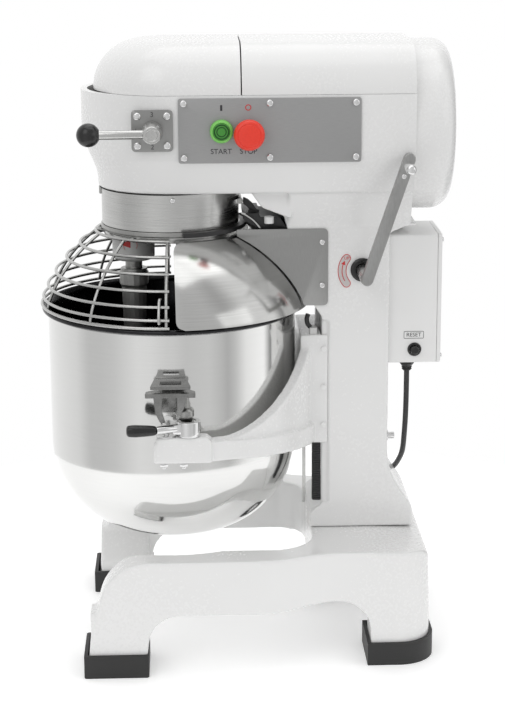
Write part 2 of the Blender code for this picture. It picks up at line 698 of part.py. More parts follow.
def build_bevels():
    down = Matrix.Translation((0, 0, BEVEL_Z)) @ Matrix.Rotation(math.pi, 4, "X")
    crown = bevel_gear("crown_gear_form", CROWN_TEETH, BEVEL_TEETH, down, 0.74, CORE_BORE, 0.84,
                       math.pi / CROWN_TEETH, 0.005)
    shaft = rod("main_shaft", (0, 0, 0.5445), (0, 0, 0.648), 0.0100, 16)
    join(shaft, crown)
    place(shaft, Finish.GEAR, (0, 0, HEAD_FLOOR))
    back = Matrix.Translation((0, 0, BEVEL_Z)) @ Y_AXIS
    pinion = bevel_gear("bevel_pinion_form", BEVEL_TEETH, CROWN_TEETH, back, 0.74, CORE_BORE, 0.84,
                        math.pi / 2, 0.002)
    shaft = rod("bevel_pinion_shaft", (0, 0.035, BEVEL_Z), (0, 0.160, BEVEL_Z), 0.0080, 20)
    join(shaft, pinion)
    place(shaft, Finish.GEAR, (0, 0.045, BEVEL_Z))


def build_planetary():
    ring = turned("hub_ring", [(RING_IN, RING_LOW), (RING_OUT, RING_LOW), (RING_OUT, RING_HIGH),
                               (0.076, RING_HIGH), (0.076, RING_HIGH - 0.006), (RING_IN, RING_HIGH - 0.006)],
                  steps=32)
    place(ring, Finish.STEEL)
    pitch = RING_TEETH * PLANET_MODULE / 2
    half = math.tau / RING_TEETH / 4
    gear_low, gear_high = 0.564, 0.576
    inner = []
    for i in range(RING_TEETH):
        middle = math.tau * (i + 0.5) / RING_TEETH
        for offset, step in ((-1.5, 1.15), (-0.5, -0.75), (0.5, -0.75), (1.5, 1.15)):
            angle = middle + offset * half * 0.86
            radius = pitch + step * PLANET_MODULE
            inner.append((-radius * math.sin(angle), -radius * math.cos(angle)))
    ring_gear = rod("ring_gear", (0, 0, gear_low), (0, 0, gear_high), RING_IN - 2 * GAP, 32)
    cut(ring_gear, prism("ring_tooth_form", inner, "Z", gear_low - 0.002, gear_high + 0.002))
    place(ring_gear, Finish.GEAR)
    bearing = tube("main_bearing", (0, 0, HEAD_FLOOR), (0, 0, 0.612), 0.0200, 0.0103, 28)
    place(bearing, Finish.STEEL)
    carrier = turned("planet_carrier", [(0, 0.540), (0.0775, 0.540), (0.0775, 0.5555), (0.0180, 0.5600),
                                        (0.0180, 0.5900), (0.0103, 0.5900), (0.0103, 0.5442), (0, 0.5442)],
                     steps=28)
    housing = rod("planet_housing_form", (0, PLANET_Y, 0.498), (0, PLANET_Y, 0.5450), 0.0270, 32)
    join(carrier, housing)
    cut(carrier, rod("planet_bore_form", (0, PLANET_Y, 0.48), (0, PLANET_Y, 0.60), 0.0113, 24))
    place(carrier, Finish.CAST, (0, 0, HEAD_FLOOR))
    centre = Matrix.Translation((0, PLANET_Y, 0.565))
    pinion = spur_gear("planet_pinion_form", PINION_TEETH, PLANET_MODULE, centre, 0.010, 0.0, 0.84,
                       -math.pi / 2)
    agitator = turned("agitator_shaft", [(0, 0.452), (0.0085, 0.452), (0.0085, 0.470), (0.0108, 0.4705),
                                         (0.0108, 0.5590), (0.0082, 0.5595), (0.0082, 0.579), (0, 0.579)],
                      Matrix.Translation((0, PLANET_Y, 0)), 16)
    join(agitator, pinion)
    place(agitator, Finish.STEEL, (0, PLANET_Y, 0.5))


def beater_outline(inset, top, bottom):
    """Flat beater outline, widest near the shoulder, as (radius, height)."""
    points = []
    for i in range(9):
        share = i / 8
        z = bottom + (top - bottom) * share
        bulge = math.sin(math.pi * min(1.0, 0.18 + 0.62 * share)) ** 0.75
        points.append(((0.086 - inset) * bulge, z))
    return points


def build_beater():
    """Flat beater with a socket that takes the agitator shaft."""
    outer = beater_outline(0.0, 0.400, 0.190)
    inner = beater_outline(0.012, 0.388, 0.202)
    plate = prism("beater", outer + [(-x, z) for x, z in reversed(outer)], "Y",
                  PLANET_Y - 0.005, PLANET_Y + 0.005)
    window = prism("beater_window_form", inner + [(-x, z) for x, z in reversed(inner)], "Y",
                   PLANET_Y - 0.02, PLANET_Y + 0.02)
    cut(plate, window)
    stem = box("beater_stem_form", (-0.0055, PLANET_Y - 0.0045, 0.194), (0.0055, PLANET_Y + 0.0045, 0.396))
    join(plate, stem)
    for k, z in enumerate((0.250, 0.300, 0.350)):
        half = 0.078
        arm = box("beater_arm_form_%d" % k, (-half, PLANET_Y - 0.004, z - 0.005),
                  (half, PLANET_Y + 0.004, z + 0.005))
        join(plate, arm)
    socket = turned("beater_socket_form", [(0, 0.392), (0.014, 0.392), (0.0160, 0.462), (0.0185, 0.466),
                                           (0.0185, 0.482), (0.0112, 0.482), (0.0112, 0.4695),
                                           (0.0088, 0.4695), (0.0088, 0.4517), (0, 0.4517)],
                    Matrix.Translation((0, PLANET_Y, 0)), 16)
    join(plate, socket)
    place(plate, Finish.STEEL, (0, PLANET_Y, 0.5))


# Guard --------------------------------------------------------------------------------

def build_guard_track():
    track = turned("guard_track", [(0.0800, 0.5405), (0.0965, 0.5405), (0.0965, 0.5467), (0.0800, 0.5467)],
                   steps=32)
    place(track, Finish.BLACK)


def dome_radius(height):
    """Outer radius of the dome shield at a height."""
    share = max(0.0, (height - DOME_BASE) / DOME_HEIGHT) ** (1 / DOME_POWER)
    return DOME_RADIUS * math.sqrt(max(0.0, 1 - share * share))


def build_rear_shield():
    """Fixed polished dome over the rear half of the bowl."""
    wall = 0.0014
    heights = [DOME_BASE + 0.0005, 0.456, 0.474, 0.494, 0.514, 0.527, 0.5372]
    outer = [(dome_radius(z), z) for z in heights]
    inner = [(r - wall, z) for r, z in reversed(outer)]
    profile = outer + inner
    sections = []
    for i in range(21):
        angle = math.radians(2 + 176 * i / 20)
        sections.append([(r * math.cos(angle), r * math.sin(angle), z) for r, z in profile])
    shield = loft("rear_shield", sections)
    place(shield, Finish.POLISHED)


def build_side_plates():
    for label, sign in SIDES:
        face = COLUMN_HALF + GAP
        outline = [(0.108, 0.545)]
        outline += arc(0.192, 0.541, 0.005, 90, 0, 3)
        outline += arc(0.192, 0.452, 0.005, 0, -90, 3)
        for z in (0.447, 0.470, 0.490, 0.510, 0.528):
            reach = math.sqrt(dome_radius(z) ** 2 - face ** 2)
            outline.append((reach + 0.0015, z))
        plate = prism("side_plate_" + label, outline, "X", min(sign * face, sign * (face + 0.0016)),
                      max(sign * face, sign * (face + 0.0016)))
        place(plate, Finish.STEEL)


def wire(name, points, radius, steps=4):
    """Round wire through points, as a closed body."""
    points = [Vector(point) for point in points]
    rings = []
    side = None
    for i, point in enumerate(points):
        before = points[max(0, i - 1)]
        after = points[min(len(points) - 1, i + 1)]
        along = (after - before).normalized()
        if side is None:
            side = along.orthogonal().normalized()
        side = (side - along * side.dot(along)).normalized()
        other = along.cross(side)
        rings.append([point + radius * (math.cos(a) * side + math.sin(a) * other)
                      for a in [math.tau * k / steps for k in range(steps)]])
    return loft(name, rings)


def guard_profile(share):
    """Radius and height of the wire guard; share runs from the top ring to the lowest."""
    angle = math.radians(55 * (1 - share))
    rise = (DOME_HEIGHT - 0.0016) * math.sin(angle) ** 1.40
    return (GUARD_RADIUS * math.cos(angle), DOME_BASE + 0.0012 + rise)


def build_guard():
    """Turning front half guard of steel wire."""
    rings = 7
    ribs = 6
    guard = None
    for i in range(rings):
        radius, height = guard_profile(i / (rings - 1))
        arc_points = []
        for k in range(17):
            angle = math.radians(-180 + 180 * k / 16)
            arc_points.append((radius * math.cos(angle), radius * math.sin(angle), height))
        size = GUARD_WIRE if i < rings - 1 else GUARD_WIRE * 1.25
        ring = wire("wire_guard" if guard is None else "guard_ring_form_%d" % i, arc_points, size)
        guard = ring if guard is None else join(guard, ring)
    for i in range(ribs):
        angle = math.radians(-178 + 176 * i / (ribs - 1))
        points = []
        for k in range(6):
            radius, height = guard_profile(k / 5)
            inner = radius - 0.0018
            points.append((inner * math.cos(angle), inner * math.sin(angle), height))
        join(guard, wire("guard_rib_form_%d" % i, points, GUARD_WIRE))
    top_radius, top_height = guard_profile(0)
    collar = turned("guard_collar_form", [(0.0805, 0.5325), (0.0850, 0.5325), (0.0850, 0.5400),
                                          (0.0805, 0.5400)], steps=28)
    join(guard, collar)
    for i in range(3):
        angle = math.radians(-150 + 60 * i)
        start = (0.083 * math.cos(angle), 0.083 * math.sin(angle), 0.5355)
        end = (top_radius * math.cos(angle), top_radius * math.sin(angle), top_height)
        join(guard, rod("guard_stay_form_%d" % i, start, end, 0.0030, 8))
    place(guard, Finish.STEEL, (0, 0, RING_LOW))


# Cradle, bowl and clamps --------------------------------------------------------------

def build_cradle():
    """Slide block, inner lug and two arms round the bowl."""
    block = box("cradle", (-COLUMN_HALF, SLIDE_FRONT, SLIDE_LOW), (COLUMN_HALF, RECESS_FACE - GAP, SLIDE_TOP))
    for label, sign in SIDES:
        gib = box("gib_form_" + label, (min(sign * 0.0560, sign * COLUMN_HALF), 0.185, SLIDE_LOW),
                  (max(sign * 0.0560, sign * COLUMN_HALF), 0.1978, SLIDE_TOP))
        sections = []
        steps = 12
        for i in range(steps + 1):
            angle = math.radians(-7 + 79 * i / steps)
            share = max(0.0, min(1.0, (math.degrees(angle) - 20) / 50))
            rise = share ** 1.6
            low = ARM_LOW - 0.016 * share
            top = ARM_TOP + (SLIDE_TOP - 0.018 - ARM_TOP) * rise
            inner = ARM_IN
            outer = ARM_OUT - 0.005 * share
            ring = [(inner, low), (outer, low), (outer, top), (inner, top)]
            sections.append([(sign * r * math.cos(angle), r * math.sin(angle), z) for r, z in ring])
        arm = loft("arm_form_" + label, sections)
        low_x = min(sign * ARM_IN, sign * ARM_OUT)
        high_x = max(sign * ARM_IN, sign * ARM_OUT)
        pad = box("arm_pad_form_" + label, (low_x, -0.0205, ARM_LOW), (high_x, 0.046, ARM_TOP + 0.004))
        join(block, gib, arm, pad)
    web = box("lug_web_form", (-0.0080, 0.185, 0.362), (0.0080, 0.226, 0.430))
    bar = box("lug_bar_form", (-0.0080, 0.2010, 0.362), (0.0080, 0.2260, 0.516))
    eye = box("lug_eye_form", (-0.0080, 0.1885, 0.5115), (0.0080, 0.2235, 0.5375))
    join(block, web, bar, eye)
    pin_z = LIFT_Z + CRANK * math.sin(CRANK_REST)
    slot = box("lug_slot_in_eye_form", (-0.02, 0.1910, pin_z - 0.0078), (0.02, 0.2190, pin_z + 0.0078))
    column_clear = box("block_clear_form", (-0.2, RECESS_FACE - GAP, 0.0), (-COLUMN_HALF, 0.6, 0.7))
    other_clear = box("block_clear_other_form", (COLUMN_HALF, RECESS_FACE - GAP, 0.0), (0.2, 0.6, 0.7))
    channel = box("rail_channel_form", (0.0400, 0.1765, 0.2), (0.0530, 0.1950, 0.345))
    cut(block, slot, column_clear, other_clear, channel)
    place(block, Finish.ENAMEL)


def build_slide_rail():
    """Black guide rail on the recess face, in a channel of the slide block."""
    rail = box("slide_rail", (0.0415, 0.1780, RECESS_LOW + 0.001), (0.0515, RECESS_FACE - GAP, 0.2620))
    place(rail, Finish.BLACK)


def bowl_profile():
    """Outer outline of the bowl from its foot to under the rolled rim."""
    points = [(0, BOWL_BOTTOM), (0.040, BOWL_BOTTOM + 0.001)]
    for i in range(1, 8):
        angle = math.radians(90 * i / 7)
        points.append((0.0400 + (BOWL_BODY - 0.0400) * math.sin(angle),
                       0.2620 - (0.2620 - BOWL_BOTTOM - 0.001) * math.cos(angle)))
    points.append((BOWL_BODY, BOWL_RIM_Z - 0.010))
    return points


def build_bowl():
    outer = bowl_profile()
    rim = [(BOWL_RIM - 0.002, BOWL_RIM_Z - 0.0065), (BOWL_RIM, BOWL_RIM_Z - 0.003),
           (BOWL_RIM - 0.002, BOWL_RIM_Z), (BOWL_BODY - BOWL_WALL, BOWL_RIM_Z)]
    inner = [(max(0.0, r - BOWL_WALL), z + BOWL_WALL) for r, z in reversed(outer[:-1])]
    bowl = turned("bowl", outer + rim + inner, steps=36)
    place(bowl, Finish.POLISHED)


def build_brackets():
    """Handle and flange on each side of the bowl, and the clamp on each arm."""
    for label, sign in SIDES:
        def span(low, high, y0, z0, y1, z1, name):
            return box(name, (min(sign * low, sign * high), y0, z0), (max(sign * low, sign * high), y1, z1))
        bracket = span(BOWL_BODY + GAP, 0.1990, -0.031, 0.3610, 0.027, 0.3650, "bowl_bracket_" + label)
        back = span(BOWL_BODY + GAP, 0.1630, -0.031, 0.3400, 0.027, 0.3860, "bracket_back_form_" + label)
        bail = span(0.1610, 0.2010, -0.0250, 0.3740, 0.0220, 0.3800, "bracket_bail_form_" + label)
        leg = span(0.1860, 0.1960, -0.0230, 0.3320, -0.0110, 0.3630, "bracket_leg_form_" + label)
        join(bracket, back, bail, leg)
        window = span(0.1680, 0.1950, -0.0150, 0.3660, 0.0120, 0.3900, "bracket_window_form_" + label)
        cut(bracket, window)
        curve = rod("bracket_round_form_" + label, (0, 0, 0.30), (0, 0, 0.42), BOWL_BODY + GAP, 72)
        cut(bracket, curve)
        bolt = turned("bowl_bolt_form_" + label, [(0, 0.3400), (0.0055, 0.3400), (0.0055, 0.3520),
                                                  (0.0090, 0.3530), (0.0090, 0.3620), (0, 0.3620)],
                      Matrix.Translation((sign * 0.180, 0.0160, 0)), 12)
        join(bracket, bolt)
        place(bracket, Finish.STEEL)
        pivot = (sign * 0.184, 0.0195, 0.3113)
        clamp = turned("clamp_lever_" + label, [(0, GAP), (0.0120, GAP), (0.0120, 0.0250), (0, 0.0250)],
                       Matrix.Translation(pivot), 24)
        reach = rod("clamp_rod_form_" + label, (sign * 0.190, 0.012, 0.3225), (sign * 0.2005, -0.018, 0.3235),
                    0.0045, 12)
        join(clamp, reach)
        place(clamp, Finish.STEEL, pivot)
        start = Vector((sign * 0.2009, -0.0200, 0.3235))
        end = Vector((sign * 0.2045, -0.0555, 0.3245))
        run = end - start
        frame = Matrix.Translation(start) @ run.to_track_quat("Z", "Y").to_matrix().to_4x4()
        length = run.length
        grip = turned("clamp_grip_" + label, [(0, 0), (0.0055, 0), (0.0068, 0.3 * length),
                                              (0.0078, 0.75 * length), (0.0060, 0.96 * length),
                                              (0, length)], frame, 16)
        place(grip, Finish.BLACK, pivot)


# Lift ---------------------------------------------------------------------------------

def build_lift():
    """Shaft with its crank inside the column, and the hand lever outside."""
    pin = (0, LIFT_Y - CRANK * math.cos(CRANK_REST), LIFT_Z + CRANK * math.sin(CRANK_REST))
    shaft = rod("lift_shaft", (-0.058, LIFT_Y, LIFT_Z), (0.1180, LIFT_Y, LIFT_Z), 0.0080, 16)
    web = rod("crank_web_form", (0.0115, LIFT_Y, LIFT_Z), (0.0195, LIFT_Y, LIFT_Z), 0.0130, 20)
    end = rod("crank_end_form", (0.0115, pin[1], pin[2]), (0.0195, pin[1], pin[2]), 0.0085, 16)
    direction = Vector((0, pin[1] - LIFT_Y, pin[2] - LIFT_Z)).normalized()
    across = Vector((0, -direction.z, direction.y)) * 0.0080
    base = Vector((0, LIFT_Y, LIFT_Z))
    tip = Vector(pin)
    corners = [base + across, base - across, tip - across, tip + across]
    arm = loft("crank_arm_form", [[c + Vector((x, 0, 0)) for c in corners] for x in (0.0120, 0.0190)])
    roller = rod("crank_pin_form", (-0.0095, pin[1], pin[2]), (0.015, pin[1], pin[2]), 0.0050, 16)
    join(shaft, web, arm, end, roller)
    place(shaft, Finish.STEEL, (0, LIFT_Y, LIFT_Z))
    seal = tube("lift_seal", (COLUMN_HALF + GAP, LIFT_Y, LIFT_Z), (COLUMN_HALF + 0.005, LIFT_Y, LIFT_Z),
                0.0150, 0.0084, 24)
    place(seal, Finish.BLACK)
    width = 0.0140
    along = Vector((0, math.sin(HANDLE_LEAN), math.cos(HANDLE_LEAN)))
    top = base + along * HANDLE_LENGTH
    side = Vector((0, math.cos(HANDLE_LEAN), -math.sin(HANDLE_LEAN)))
    outline = []
    for centre, start_angle in ((top, 0), (base, 180)):
        for k in range(7):
            angle = math.radians(start_angle + 180 * k / 6)
            outline.append(centre + (side * math.cos(angle) + along * math.sin(angle)) * width / 2)
    sections = [[p + Vector((x, 0, 0)) for p in outline] for x in (0.1183, 0.1290)]
    handle = loft("lift_handle", sections)
    place(handle, Finish.STEEL, (0, LIFT_Y, LIFT_Z))
    knob_low = top - along * 0.008 + Vector((0.1293, 0, 0))
    knob = turned("lift_knob", [(0, 0), (0.0050, 0), (0.0060, 0.006), (0.0068, 0.030),
                                (0.0055, 0.038), (0, 0.040)], Matrix.Translation(knob_low) @ X_AXIS, 20)
    place(knob, Finish.POLISHED, (0, LIFT_Y, LIFT_Z))


# Electrical ---------------------------------------------------------------------------

def build_control_box():
    front = COLUMN_BACK + GAP
    seam = 0.3370
    low, high = 0.367, 0.534
    shell = prism("control_box", rounded((-0.050, low), (0.050, high), 0.003, 2), "Y", front, seam)
    room = box("box_room_form", (-0.0485, front + 0.002, low + 0.002), (0.0485, seam + 0.01, high - 0.002))
    reset_bore = rod("reset_bore_form", (0.04, 0.3090, 0.3850), (0.06, 0.3090, 0.3850), 0.0062, 16)
    gland_bore = rod("gland_bore_form", (0.02, GLAND_Y, low - 0.01), (0.02, GLAND_Y, low + 0.01), 0.0065, 16)
    cut(shell, room, reset_bore, gland_bore)
    place(shell, Finish.ENAMEL)
    lid = prism("control_box_lid", rounded((-0.050, low), (0.050, high), 0.003, 2), "Y",
                seam + GAP, seam + 0.0055)
    place(lid, Finish.ENAMEL)
    button = turned("reset_button", [(0, -0.006), (0.0050, -0.006), (0.0055, 0.0070), (0.0045, 0.0080),
                                     (0, 0.0080)], Matrix.Translation((0.0500, 0.3090, 0.3850)) @ X_AXIS, 16)
    place(button, Finish.BLACK, (0.0500, 0.3090, 0.3850))
    gland = turned("cable_gland", [(0.0038, -0.0170), (0.0052, -0.0170), (0.0070, -0.0110),
                                   (0.0095, -0.0070), (0.0095, -GAP), (0.0060, -GAP), (0.0060, 0.0050),
                                   (0.0038, 0.0050)], Matrix.Translation((0.02, GLAND_Y, low)), 20)
    place(gland, Finish.BLACK)


def spline_points(route, pieces):
    """Uniform cubic B-spline through a route that is extended straight at both ends."""
    corners = [Vector(point) for point in route]
    corners = [2 * corners[0] - corners[1]] + corners + [2 * corners[-1] - corners[-2]]
    points = []
    for i in range(1, len(corners) - 2):
        p0, p1, p2, p3 = corners[i - 1:i + 3]
        for k in range(pieces):
            t = k / pieces
            points.append(((1 - t) ** 3 * p0 + (3 * t ** 3 - 6 * t ** 2 + 4) * p1
                           + (-3 * t ** 3 + 3 * t ** 2 + 3 * t + 1) * p2 + t ** 3 * p3) / 6)
    points.append(corners[-2])
    return points


def build_cord():
    """Mains lead from the gland round the far side of the column to its coil and plug under the base."""
    end_x = COIL_X - COIL_OUT - LEAD_RADIUS - 0.0006
    route = [(0.0200, GLAND_Y, 0.3520), (0.0200, GLAND_Y, 0.3300), (0.0198, 0.3029, 0.3000),
             (0.0185, 0.3022, 0.2760), (0.0150, 0.3015, 0.2588), (0.0080, 0.3016, 0.2443),
             (-0.0040, 0.3015, 0.2309), (-0.0190, 0.3002, 0.2190), (-0.0360, 0.2995, 0.2085),
             (-0.0530, 0.2998, 0.2005), (-0.0680, 0.2990, 0.1925), (-0.0800, 0.2930, 0.1815),
             (-0.0910, 0.2850, 0.1690), (-0.1050, 0.2760, 0.1595), (-0.1240, 0.2675, 0.1560),
             (-0.1435, 0.2610, 0.1592), (-0.1591, 0.2560, 0.1560), (-0.1718, 0.2525, 0.1463),
             (-0.1792, 0.2505, 0.1321), (-0.1805, 0.2500, 0.1140), (-0.1800, 0.2500, 0.0920),
             (-0.1780, 0.2500, 0.0690), (-0.1760, 0.2510, 0.0480), (-0.1730, 0.2480, 0.0260),
             (-0.1660, 0.2390, 0.0100), (-0.1575, 0.2250, 0.0040), (-0.1505, 0.2090, 0.0046),
             (end_x, 0.1960, 0.0046), (end_x, 0.1830, 0.0046)]
    points = spline_points(route, 3)
    curve = bpy.data.curves.new("mains_lead", "CURVE")
    curve.dimensions = "3D"
    curve.bevel_depth = LEAD_RADIUS
    curve.bevel_resolution = 2
    curve.use_fill_caps = True
    spline = curve.splines.new("POLY")
    spline.points.add(len(points) - 1)
    for target, point in zip(spline.points, points):
        target.co = (*point, 1.0)
    lead = bpy.data.objects.new("mains_lead", curve)
    bpy.context.collection.objects.link(lead)
    place(lead, Finish.CABLE)
    coil = turned("lead_coil", [(COIL_IN, COIL_LOW), (COIL_OUT, COIL_LOW), (COIL_OUT, COIL_HIGH),
                                (COIL_IN, COIL_HIGH)], Matrix.Translation((COIL_X, COIL_Y, 0)), 24)
    place(coil, Finish.CABLE)
    low = COIL_HIGH + GAP
    plug = box("mains_plug", (COIL_X - 0.027, COIL_Y + 0.021, low),
               (COIL_X + 0.009, COIL_Y + 0.048, low + 0.024))
    for k, y in enumerate((0.0250, 0.0440)):
        join(plug, rod("plug_pin_form_%d" % k, (COIL_X - 0.021, COIL_Y + y, low + 0.012),
                       (COIL_X - 0.046, COIL_Y + y, low + 0.012), 0.0024, 10))
    place(plug, Finish.BLACK)


clear_scene()
ROOT = bpy.data.objects.new("mixer_origin", None)
bpy.context.collection.objects.link(ROOT)
ROOT.location = (0, ORIGIN_SHIFT_Y, 0)

build_base()
build_feet()
build_frame()
build_front_cover()
build_rear_cover()
build_rear_cap()
build_panel()
build_buttons()
build_selector()
build_shift_fork()
build_motor()
build_gearbox()
build_bevels()
build_planetary()
build_beater()
build_guard_track()
build_rear_shield()
build_side_plates()
build_guard()
build_cradle()
build_slide_rail()
build_bowl()
build_brackets()
build_lift()
build_control_box()
build_cord()
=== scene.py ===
"""Looks of the twenty litre stand mixer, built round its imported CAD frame.

Metres. Pieces are drawn with the bowl axis at X = 0, Y = 0 and then moved by SHIFT into the row frame.
"""
import math

import bmesh
import bpy
from mathutils import Matrix, Vector


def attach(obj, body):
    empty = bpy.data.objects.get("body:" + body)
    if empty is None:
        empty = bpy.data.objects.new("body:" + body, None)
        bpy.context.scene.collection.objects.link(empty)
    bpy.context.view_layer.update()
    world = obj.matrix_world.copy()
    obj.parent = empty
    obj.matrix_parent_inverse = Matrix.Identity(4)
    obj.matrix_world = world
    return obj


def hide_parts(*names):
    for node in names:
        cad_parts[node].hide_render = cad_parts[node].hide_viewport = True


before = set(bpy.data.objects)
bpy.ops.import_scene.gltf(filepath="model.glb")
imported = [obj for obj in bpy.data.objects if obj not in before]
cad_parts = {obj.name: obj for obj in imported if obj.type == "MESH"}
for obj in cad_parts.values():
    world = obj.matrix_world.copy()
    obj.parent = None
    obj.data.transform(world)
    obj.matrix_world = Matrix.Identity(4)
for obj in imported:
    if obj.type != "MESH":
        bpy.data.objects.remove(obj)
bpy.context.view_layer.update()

SHIFT = Vector((0, -0.09175, 0))
SIDES = (("right", 1), ("left", -1))
X_AXIS = Matrix.Rotation(math.pi / 2, 4, "Y")
Y_AXIS = Matrix.Rotation(-math.pi / 2, 4, "X")
UPRIGHT = Matrix.Identity(4)
SHARP = math.radians(38)
COVER_FOOT, HEAD_TOP = 0.7173, 0.777
CAP_Z = 0.668               # axis of the rear cap
PLANET_Y = -0.048           # agitator axis, from the bowl axis
LIFT_Y, LIFT_Z = 0.2404, 0.492
CLAMP_X = 0.184             # clamps, right side
BRACKET_CURVE = 0.1594      # radius that the bowl's side brackets are cut to
VOXEL = 0.0020


# Materials ----------------------------------------------------------------------------

def finish(name, colour, dark, rough, metallic=0.0, grain=300.0, stretch=(1, 1, 1), bump=0.05,
           grain_mix=0.0, patch=7.0, patch_mix=0.25, rough_span=0.05, coat=0.0, depth=0.0003, emission=0.0):
    """Principled material whose colour, roughness and relief vary over the surface."""
    made = bpy.data.materials.new(name)
    made.use_nodes = True
    tree = made.node_tree
    shader = tree.nodes["Principled BSDF"]
    shader.inputs["Metallic"].default_value = metallic
    shader.inputs["Coat Weight"].default_value = coat
    shader.inputs["Coat Roughness"].default_value = 0.08
    place = tree.nodes.new("ShaderNodeTexCoord")
    spread = tree.nodes.new("ShaderNodeMapping")
    spread.inputs["Scale"].default_value = stretch
    tree.links.new(place.outputs["Object"], spread.inputs["Vector"])
    fine = tree.nodes.new("ShaderNodeTexNoise")
    fine.inputs["Scale"].default_value = grain
    fine.inputs["Detail"].default_value = 3.0
    tree.links.new(spread.outputs["Vector"], fine.inputs["Vector"])
    broad = tree.nodes.new("ShaderNodeTexNoise")
    broad.inputs["Scale"].default_value = patch
    broad.inputs["Detail"].default_value = 4.0
    tree.links.new(place.outputs["Object"], broad.inputs["Vector"])

    def ranged(source, low, high, to_low, to_high):
        node = tree.nodes.new("ShaderNodeMapRange")
        node.inputs["From Min"].default_value = low
        node.inputs["From Max"].default_value = high
        node.inputs["To Min"].default_value = to_low
        node.inputs["To Max"].default_value = to_high
        tree.links.new(source, node.inputs["Value"])
        return node.outputs["Result"]

    first = tree.nodes.new("ShaderNodeMixRGB")
    first.inputs["Color1"].default_value = (*colour, 1)
    first.inputs["Color2"].default_value = (*dark, 1)
    tree.links.new(ranged(broad.outputs["Fac"], 0.35, 0.75, 0.0, patch_mix), first.inputs["Fac"])
    second = tree.nodes.new("ShaderNodeMixRGB")
    second.inputs["Color2"].default_value = (*dark, 1)
    tree.links.new(first.outputs["Color"], second.inputs["Color1"])
    tree.links.new(ranged(fine.outputs["Fac"], 0.35, 0.70, 0.0, grain_mix), second.inputs["Fac"])
    tree.links.new(second.outputs["Color"], shader.inputs["Base Color"])
    both = tree.nodes.new("ShaderNodeMath")
    both.operation = "ADD"
    tree.links.new(broad.outputs["Fac"], both.inputs[0])
    tree.links.new(fine.outputs["Fac"], both.inputs[1])
    tree.links.new(ranged(both.outputs["Value"], 0.6, 1.4, max(0.02, rough - rough_span), rough + rough_span),
                   shader.inputs["Roughness"])
    relief = tree.nodes.new("ShaderNodeBump")
    relief.inputs["Strength"].default_value = bump
    relief.inputs["Distance"].default_value = depth
    tree.links.new(fine.outputs["Fac"], relief.inputs["Height"])
    tree.links.new(relief.outputs["Normal"], shader.inputs["Normal"])
    if emission:
        shader.inputs["Emission Color"].default_value = (1, 1, 1, 1)
        shader.inputs["Emission Strength"].default_value = emission
    return made


ENAMEL = finish("white_enamel", (0.83, 0.83, 0.825), (0.76, 0.76, 0.755), 0.26, grain=260, bump=0.05,
                coat=0.25)
SHEET_ENAMEL = finish("box_enamel", (0.84, 0.84, 0.835), (0.78, 0.78, 0.77), 0.34, grain=500, bump=0.10)
PANEL = finish("brushed_panel", (0.36, 0.36, 0.36), (0.30, 0.30, 0.30), 0.42, 0.35, grain=90,
               stretch=(1, 1.2, 40), bump=0.05, grain_mix=0.5)
SATIN = finish("satin_plate", (0.36, 0.36, 0.355), (0.27, 0.27, 0.265), 0.36, 0.9, grain=80,
               stretch=(1, 40, 1.2), bump=0.04, grain_mix=0.45)
BRUSHED = finish("brushed_ring", (0.60, 0.60, 0.59), (0.47, 0.47, 0.46), 0.26, 1.0, grain=22,
                 stretch=(1, 1, 60), bump=0.06, grain_mix=0.6)
POLISHED = finish("polished_steel", (0.80, 0.80, 0.79), (0.72, 0.72, 0.71), 0.10, 1.0, grain=14,
                  stretch=(1, 1, 70), bump=0.02, grain_mix=0.25, rough_span=0.035, patch=5)
DOME_STEEL = finish("dome_steel", (0.60, 0.60, 0.59), (0.46, 0.46, 0.45), 0.17, 1.0, grain=12,
                    stretch=(1, 1, 60), bump=0.03, grain_mix=0.30, rough_span=0.05, patch=9)
# Near-black steel for the bowl's inside and the top of its rim bead: painted shade, not the steel's own
# colour.
BOWL_INSIDE_SHADE = finish("bowl_inside", (0.045, 0.045, 0.047), (0.015, 0.015, 0.016), 0.22, 1.0, grain=30,
                     stretch=(1, 1, 0.05), bump=0.03, grain_mix=0.7)
LEVER_STEEL = finish("lever_steel", (0.40, 0.40, 0.395), (0.27, 0.27, 0.265), 0.34, 0.9, grain=120,
                     stretch=(1, 6, 1), bump=0.05, grain_mix=0.4, patch=14, patch_mix=0.5)
FLANGE_STEEL = finish("flange_steel", (0.30, 0.30, 0.295), (0.16, 0.16, 0.155), 0.26, 1.0, grain=180,
                      bump=0.06, grain_mix=0.4, patch=35, patch_mix=0.6)
STEEL = finish("bright_steel", (0.56, 0.56, 0.55), (0.40, 0.40, 0.39), 0.20, 1.0, grain=350,
               bump=0.04, grain_mix=0.25, patch=30)
WIRE_STEEL = finish("wire_steel", (0.54, 0.54, 0.53), (0.36, 0.36, 0.35), 0.22, 1.0, grain=500,
                    bump=0.05, grain_mix=0.25, patch=40)
CHROME = finish("chrome", (0.78, 0.78, 0.78), (0.66, 0.66, 0.66), 0.10, 1.0, grain=500, bump=0.02, patch=60)
SHAFT_STEEL = finish("shaft_steel", (0.42, 0.42, 0.41), (0.26, 0.26, 0.25), 0.28, 1.0, grain=60,
                     stretch=(1, 1, 30), bump=0.06, grain_mix=0.5)
HOUSING = finish("planet_housing", (0.66, 0.66, 0.65), (0.56, 0.56, 0.55), 0.42, 0.2, grain=420, bump=0.12,
                 grain_mix=0.2)
CAST_IRON = finish("cast_iron", (0.13, 0.13, 0.135), (0.07, 0.07, 0.07), 0.55, 0.8, grain=700, bump=0.5,
                   grain_mix=0.5)
ALUMINIUM = finish("cast_aluminium", (0.50, 0.50, 0.49), (0.36, 0.36, 0.35), 0.40, 0.9, grain=600, bump=0.25,
                   grain_mix=0.35)
GEAR_STEEL = finish("gear_steel", (0.40, 0.39, 0.37), (0.24, 0.22, 0.20), 0.33, 1.0, grain=160,
                    stretch=(1, 6, 1), bump=0.10, grain_mix=0.5, patch=40, patch_mix=0.6)
